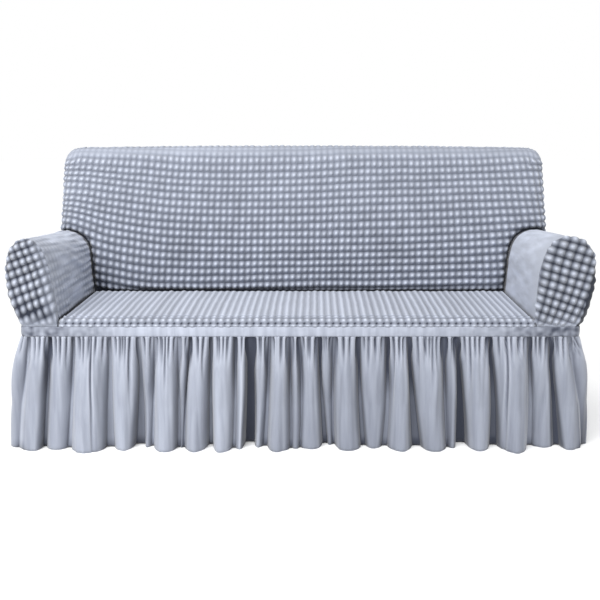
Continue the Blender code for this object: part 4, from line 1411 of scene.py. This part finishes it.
def ridge_point(fold, after, drop, share):
    """Walk, reach outwards, painted shade, height and painted highlight of a point on the ridge between
    two valleys.

    The height is 1 on top of the ridge, and the painted highlight up to 1 on crests beside a valley.
    """
    _, start, floor = valley(fold, drop)
    end, _, next_floor = valley(after, drop)
    angle = math.pi * share
    height = max(math.sin(angle), 0.0)
    across = (1 - math.cos(angle)) / 2
    walk = mix(start, end, across)
    rise = 1 - (1 - drop) ** 1.85
    ridge = RIDGE_TOP + shoulder_out(drop) + (fold.ridge / 1000 - RIDGE_TOP) * rise
    out = mix(mix(floor, next_floor, across), ridge, height ** 1.3)
    dark, next_dark = darkness(fold, drop), darkness(after, drop)
    shade = fold.dark_ridge / 100 * mix(0.4, 1.0, drop)
    shade = mix(shade, dark, bell(walk - start, AFTER_VALLEY[0] + AFTER_VALLEY[1] * drop))
    shade = mix(shade, next_dark, bell(end - walk, BEFORE_VALLEY[0] + BEFORE_VALLEY[1] * drop))
    shade += (1 - height ** 1.5) * mix(0.16, 0.28, share > 0.5)
    before_end = bell(end - walk - CREST_BEFORE[0], CREST_BEFORE[1]) * next_dark
    past_start = bell(walk - start - CREST_AFTER[0], CREST_AFTER[1]) * dark
    crest_highlight = max(before_end, 0.7 * past_start) * mix(1.0, 0.6, ease(0.5 + walk))
    return walk, out, shade, height, crest_highlight


def wide_shade(walk, drop, height):
    """Shade over the whole skirt: more at its left end, right half, hem and right corner."""
    shade = SKIRT_SHADE + HEM_SHADE * drop
    shade += LEFT_SHADE * ease((-0.6 - walk) / 0.1) + RIGHT_SHADE * ease(walk / 0.2)
    shade += BETWEEN_SHADE * ease(10 * drop - 9) * (1 - height)
    return shade + CORNER_DARK * ease((walk - 0.94) / 0.02) * ease((1.03 - walk) / 0.04)


def skirt_panel(name, folds, gathers, seed, seams, step):
    """One length of the gathered skirt; `seams` are the walks at which it meets its neighbours."""
    sizes = bpy.context.scene.plain_cloth
    columns = skirt_columns(folds, step)
    gathers = sorted(gathers)

    def surface(column, row):
        index, on_floor, share = columns[column]
        drop = (row / SKIRT_ROWS) ** ROW_CROWDING
        if on_floor:
            walk, out, shade = floor_point(folds, index, drop, share, seams)
            height = crest_highlight = 0.0
        else:
            walk, out, shade, height, crest_highlight = ridge_point(folds[index], folds[index + 1], drop, share)
        # Gathers sink the cloth and are painted dark in their middles, and a painted highlight lies on
        # their crests.
        deep, beside = gathered(walk, drop, gathers)
        crest_highlight = clamp(max(crest_highlight, 0.7 * beside) * (1 - deep)) * height
        shade += wide_shade(walk, drop, height)
        shade = clamp(max(shade, deep * (0.6 + 0.4 * height)))
        crease = noise.noise(Vector((walk * 30.0, drop * 1.6, seed + 5.0)))
        crease += 0.5 * noise.noise(Vector((walk * 75.0, drop * 1.3, seed + 9.0)))
        lift = CREASE * crease * math.sin(math.pi * clamp(drop * 1.1, 0.0, 0.75)) * height
        lift -= sizes.gather * deep * ease(0.3 + drop / 0.04)
        point, outward = body_outline(walk)
        z = mix(SKIRT_TOP, HEM_LIFT * (1 - height) * drop, drop)
        place = point + outward * mix(0.0, out, ease(0.35 + drop / 0.02)) + Vector((0.0, 0.0, z))
        return place, walk, z, lift, crest_highlight, shade, 0.0

    return cloth(name, len(columns) - 1, SKIRT_ROWS, surface, plain_cloth(), outside=-1)


def skirts():
    """The four lengths of the skirt, which meet in valleys just round the corners."""
    walks, loop = body_walks()
    right_start = walks[0][1] + CORNER_PAST + SKIRT_SEAM
    right_end = walks[1][0] - CORNER_PAST
    rear_start = right_end + SKIRT_SEAM
    rear_end = walks[2][1] + CORNER_PAST
    left_start = rear_end + SKIRT_SEAM
    left_end = walks[3][0] - CORNER_PAST - SKIRT_SEAM
    seams = (right_start - SKIRT_SEAM / 2, right_end + SKIRT_SEAM / 2,
             rear_end + SKIRT_SEAM / 2, left_end + SKIRT_SEAM / 2)
    pieces = [("skirt_front", FRONT_FOLDS, list(FRONT_GATHERS), 1.0, (seams[3] - loop, seams[0]),
               FRONT_STEP)]
    sides = (("skirt_right", right_start, right_end, 50, 3, (seams[0], seams[1])),
             ("skirt_rear", rear_start, rear_end, 48, 8, (seams[1], seams[2])),
             ("skirt_left", left_start, left_end, 50, 5, (seams[2], seams[3])))
    for name, start, end, ridge, seed, ends in sides:
        folds = even_folds(start, end, ridge, seed)
        pieces.append((name, folds, long_gathers(start, end, seed + 10), float(seed), ends, PLAIN_STEP))
    for piece in pieces:
        piece[2].extend(small_gathers(*piece[4], 20 + piece[3]))
    return [skirt_panel(*piece) for piece in pieces]


# Operators ----------------------------------------------------------------------------------------

class COVER_OT_back(bpy.types.Operator):
    """Make the back panel and the rear panel"""
    bl_idname = "cover.back"
    bl_label = "Back and rear panels"

    def execute(self, context):
        back_panel()
        rear_panel()
        return {"FINISHED"}


class COVER_OT_seat(bpy.types.Operator):
    """Make the seat panel"""
    bl_idname = "cover.seat"
    bl_label = "Seat panel"

    def execute(self, context):
        seat_panel()
        return {"FINISHED"}


class COVER_OT_arms(bpy.types.Operator):
    """Make both arm panels and both arm fronts"""
    bl_idname = "cover.arms"
    bl_label = "Arm panels and fronts"

    def execute(self, context):
        left = arm_panel("arm_left_panel", LEFT_ARM, -1, LEFT_FULL)
        right = arm_panel("arm_right_panel", RIGHT_ARM, 1, RIGHT_FULL)
        left_front = arm_front("arm_front_left", LEFT_ARM, -1)
        right_front = arm_front("arm_front_right", RIGHT_ARM, 1)
        return {"FINISHED"}


class COVER_OT_band(bpy.types.Operator):
    """Make the waistband"""
    bl_idname = "cover.band"
    bl_label = "Waistband"

    def execute(self, context):
        waistband()
        return {"FINISHED"}


class COVER_OT_skirt(bpy.types.Operator):
    """Make the four lengths of the gathered skirt"""
    bl_idname = "cover.skirt"
    bl_label = "Gathered skirt"

    def execute(self, context):
        front, right, rear, left = skirts()
        return {"FINISHED"}


# The stage: the floor's half width and grey, how soft the sun is, and where the side light hangs, which
# way it faces and how wide it is.
FLOOR_SIZE = 60.0
FLOOR_GREY = 0.90
SUN_SOFTNESS = 0.70
SUN_PLACE = (-2.0, -2.0, 3.0)
LAMP_PLACE = Vector((-2.0, -2.2, 2.0))
LAMP_AIM = Vector((-0.2, 0.3, 0.4))
LAMP_SIZE = 1.6


def put(context, name, data, place=(0.0, 0.0, 0.0), turn=(0.0, 0.0, 0.0)):
    """Put a mesh, light or camera in the scene."""
    thing = bpy.data.objects.new(name, data)
    thing.location = place
    thing.rotation_euler = turn
    context.scene.collection.objects.link(thing)
    return thing


class COVER_OT_stage(bpy.types.Operator):
    """Make the pale floor, the soft lights and the camera"""
    bl_idname = "cover.stage"
    bl_label = "Stage"

    def execute(self, context):
        self.floor(context)
        self.surround(context)
        self.lights_and_camera(context, context.scene.studio)
        return {"FINISHED"}

    def floor(self, context):
        """A wide pale floor."""
        grid = bmesh.new()
        bmesh.ops.create_grid(grid, x_segments=1, y_segments=1, size=FLOOR_SIZE)
        mesh = bpy.data.meshes.new("floor")
        grid.to_mesh(mesh)
        grid.free()
        paint = bpy.data.materials.new("pale_floor")
        paint.use_nodes = True
        shader = paint.node_tree.nodes["Principled BSDF"]
        shader.inputs["Base Color"].default_value = (FLOOR_GREY, FLOOR_GREY, FLOOR_GREY, 1.0)
        shader.inputs["Roughness"].default_value = 0.9
        mesh.materials.append(paint)
        put(context, "floor", mesh)

    def surround(self, context):
        """A white surround that lights the cover less brightly than it looks itself."""
        world = bpy.data.worlds.new("white_surround")
        world.use_nodes = True
        tree = world.node_tree
        background = tree.nodes["Background"]
        background.inputs["Color"].default_value = (1.0, 1.0, 1.0, 1.0)
        sight = tree.nodes.new("ShaderNodeLightPath")
        strength = tree.nodes.new("ShaderNodeMapRange")
        strength.inputs["To Min"].default_value = context.scene.studio.surround
        strength.inputs["To Max"].default_value = 1.0
        tree.links.new(sight.outputs["Is Camera Ray"], strength.inputs["Value"])
        tree.links.new(strength.outputs["Result"], background.inputs["Strength"])
        context.scene.world = world
        context.scene.view_settings.view_transform = "Standard"

    def lights_and_camera(self, context, studio):
        """A soft sun, a soft side light and the camera."""
        sun = bpy.data.lights.new("sun", "SUN")
        sun.energy = studio.sun
        sun.angle = SUN_SOFTNESS
        put(context, "sun", sun, SUN_PLACE, (math.pi / 2 - studio.sun_height, 0.0, -studio.sun_turn))
        lamp = bpy.data.lights.new("side_light", "AREA")
        lamp.energy = studio.side_light
        lamp.size = LAMP_SIZE
        facing = (LAMP_PLACE - LAMP_AIM).to_track_quat("Z", "Y").to_euler()
        put(context, "side_light", lamp, LAMP_PLACE - ORIGIN, facing)
        camera = bpy.data.cameras.new("camera")
        camera.sensor_width = 36.0
        camera.lens = studio.lens
        place = Vector((0.0, -studio.distance, studio.eye_height)) - ORIGIN
        facing = (math.pi / 2 - studio.tilt, 0.0, 0.0)
        context.scene.camera = put(context, "camera", camera, place, facing)


OPERATORS = (COVER_OT_back, COVER_OT_seat, COVER_OT_arms, COVER_OT_band, COVER_OT_skirt, COVER_OT_stage)


class COVER_PT_panel(bpy.types.Panel):
    """Lists the sizes and the steps that make the cover"""
    bl_label = "Slipcover"
    bl_idname = "COVER_PT_panel"
    bl_space_type = "VIEW_3D"
    bl_region_type = "UI"
    bl_category = "Slipcover"

    def draw(self, context):
        for group in (context.scene.bubble_cloth, context.scene.plain_cloth, context.scene.studio):
            box = self.layout.box()
            for key in group.__annotations__:
                box.prop(group, key)
        for operator in OPERATORS:
            self.layout.operator(operator.bl_idname)


CLASSES = (BubbleCloth, PlainCloth, Studio, *OPERATORS, COVER_PT_panel)


def register():
    for cls in CLASSES:
        bpy.utils.register_class(cls)
    bpy.types.Scene.bubble_cloth = PointerProperty(type=BubbleCloth)
    bpy.types.Scene.plain_cloth = PointerProperty(type=PlainCloth)
    bpy.types.Scene.studio = PointerProperty(type=Studio)


def unregister():
    del bpy.types.Scene.studio
    del bpy.types.Scene.plain_cloth
    del bpy.types.Scene.bubble_cloth
    for cls in reversed(CLASSES):
        bpy.utils.unregister_class(cls)


def main():
    """Make every piece and the stage."""
    register()
    bpy.ops.cover.back()
    bpy.ops.cover.seat()
    bpy.ops.cover.arms()
    bpy.ops.cover.band()
    bpy.ops.cover.skirt()
    bpy.ops.cover.stage()


if __name__ == "__main__":
    main()
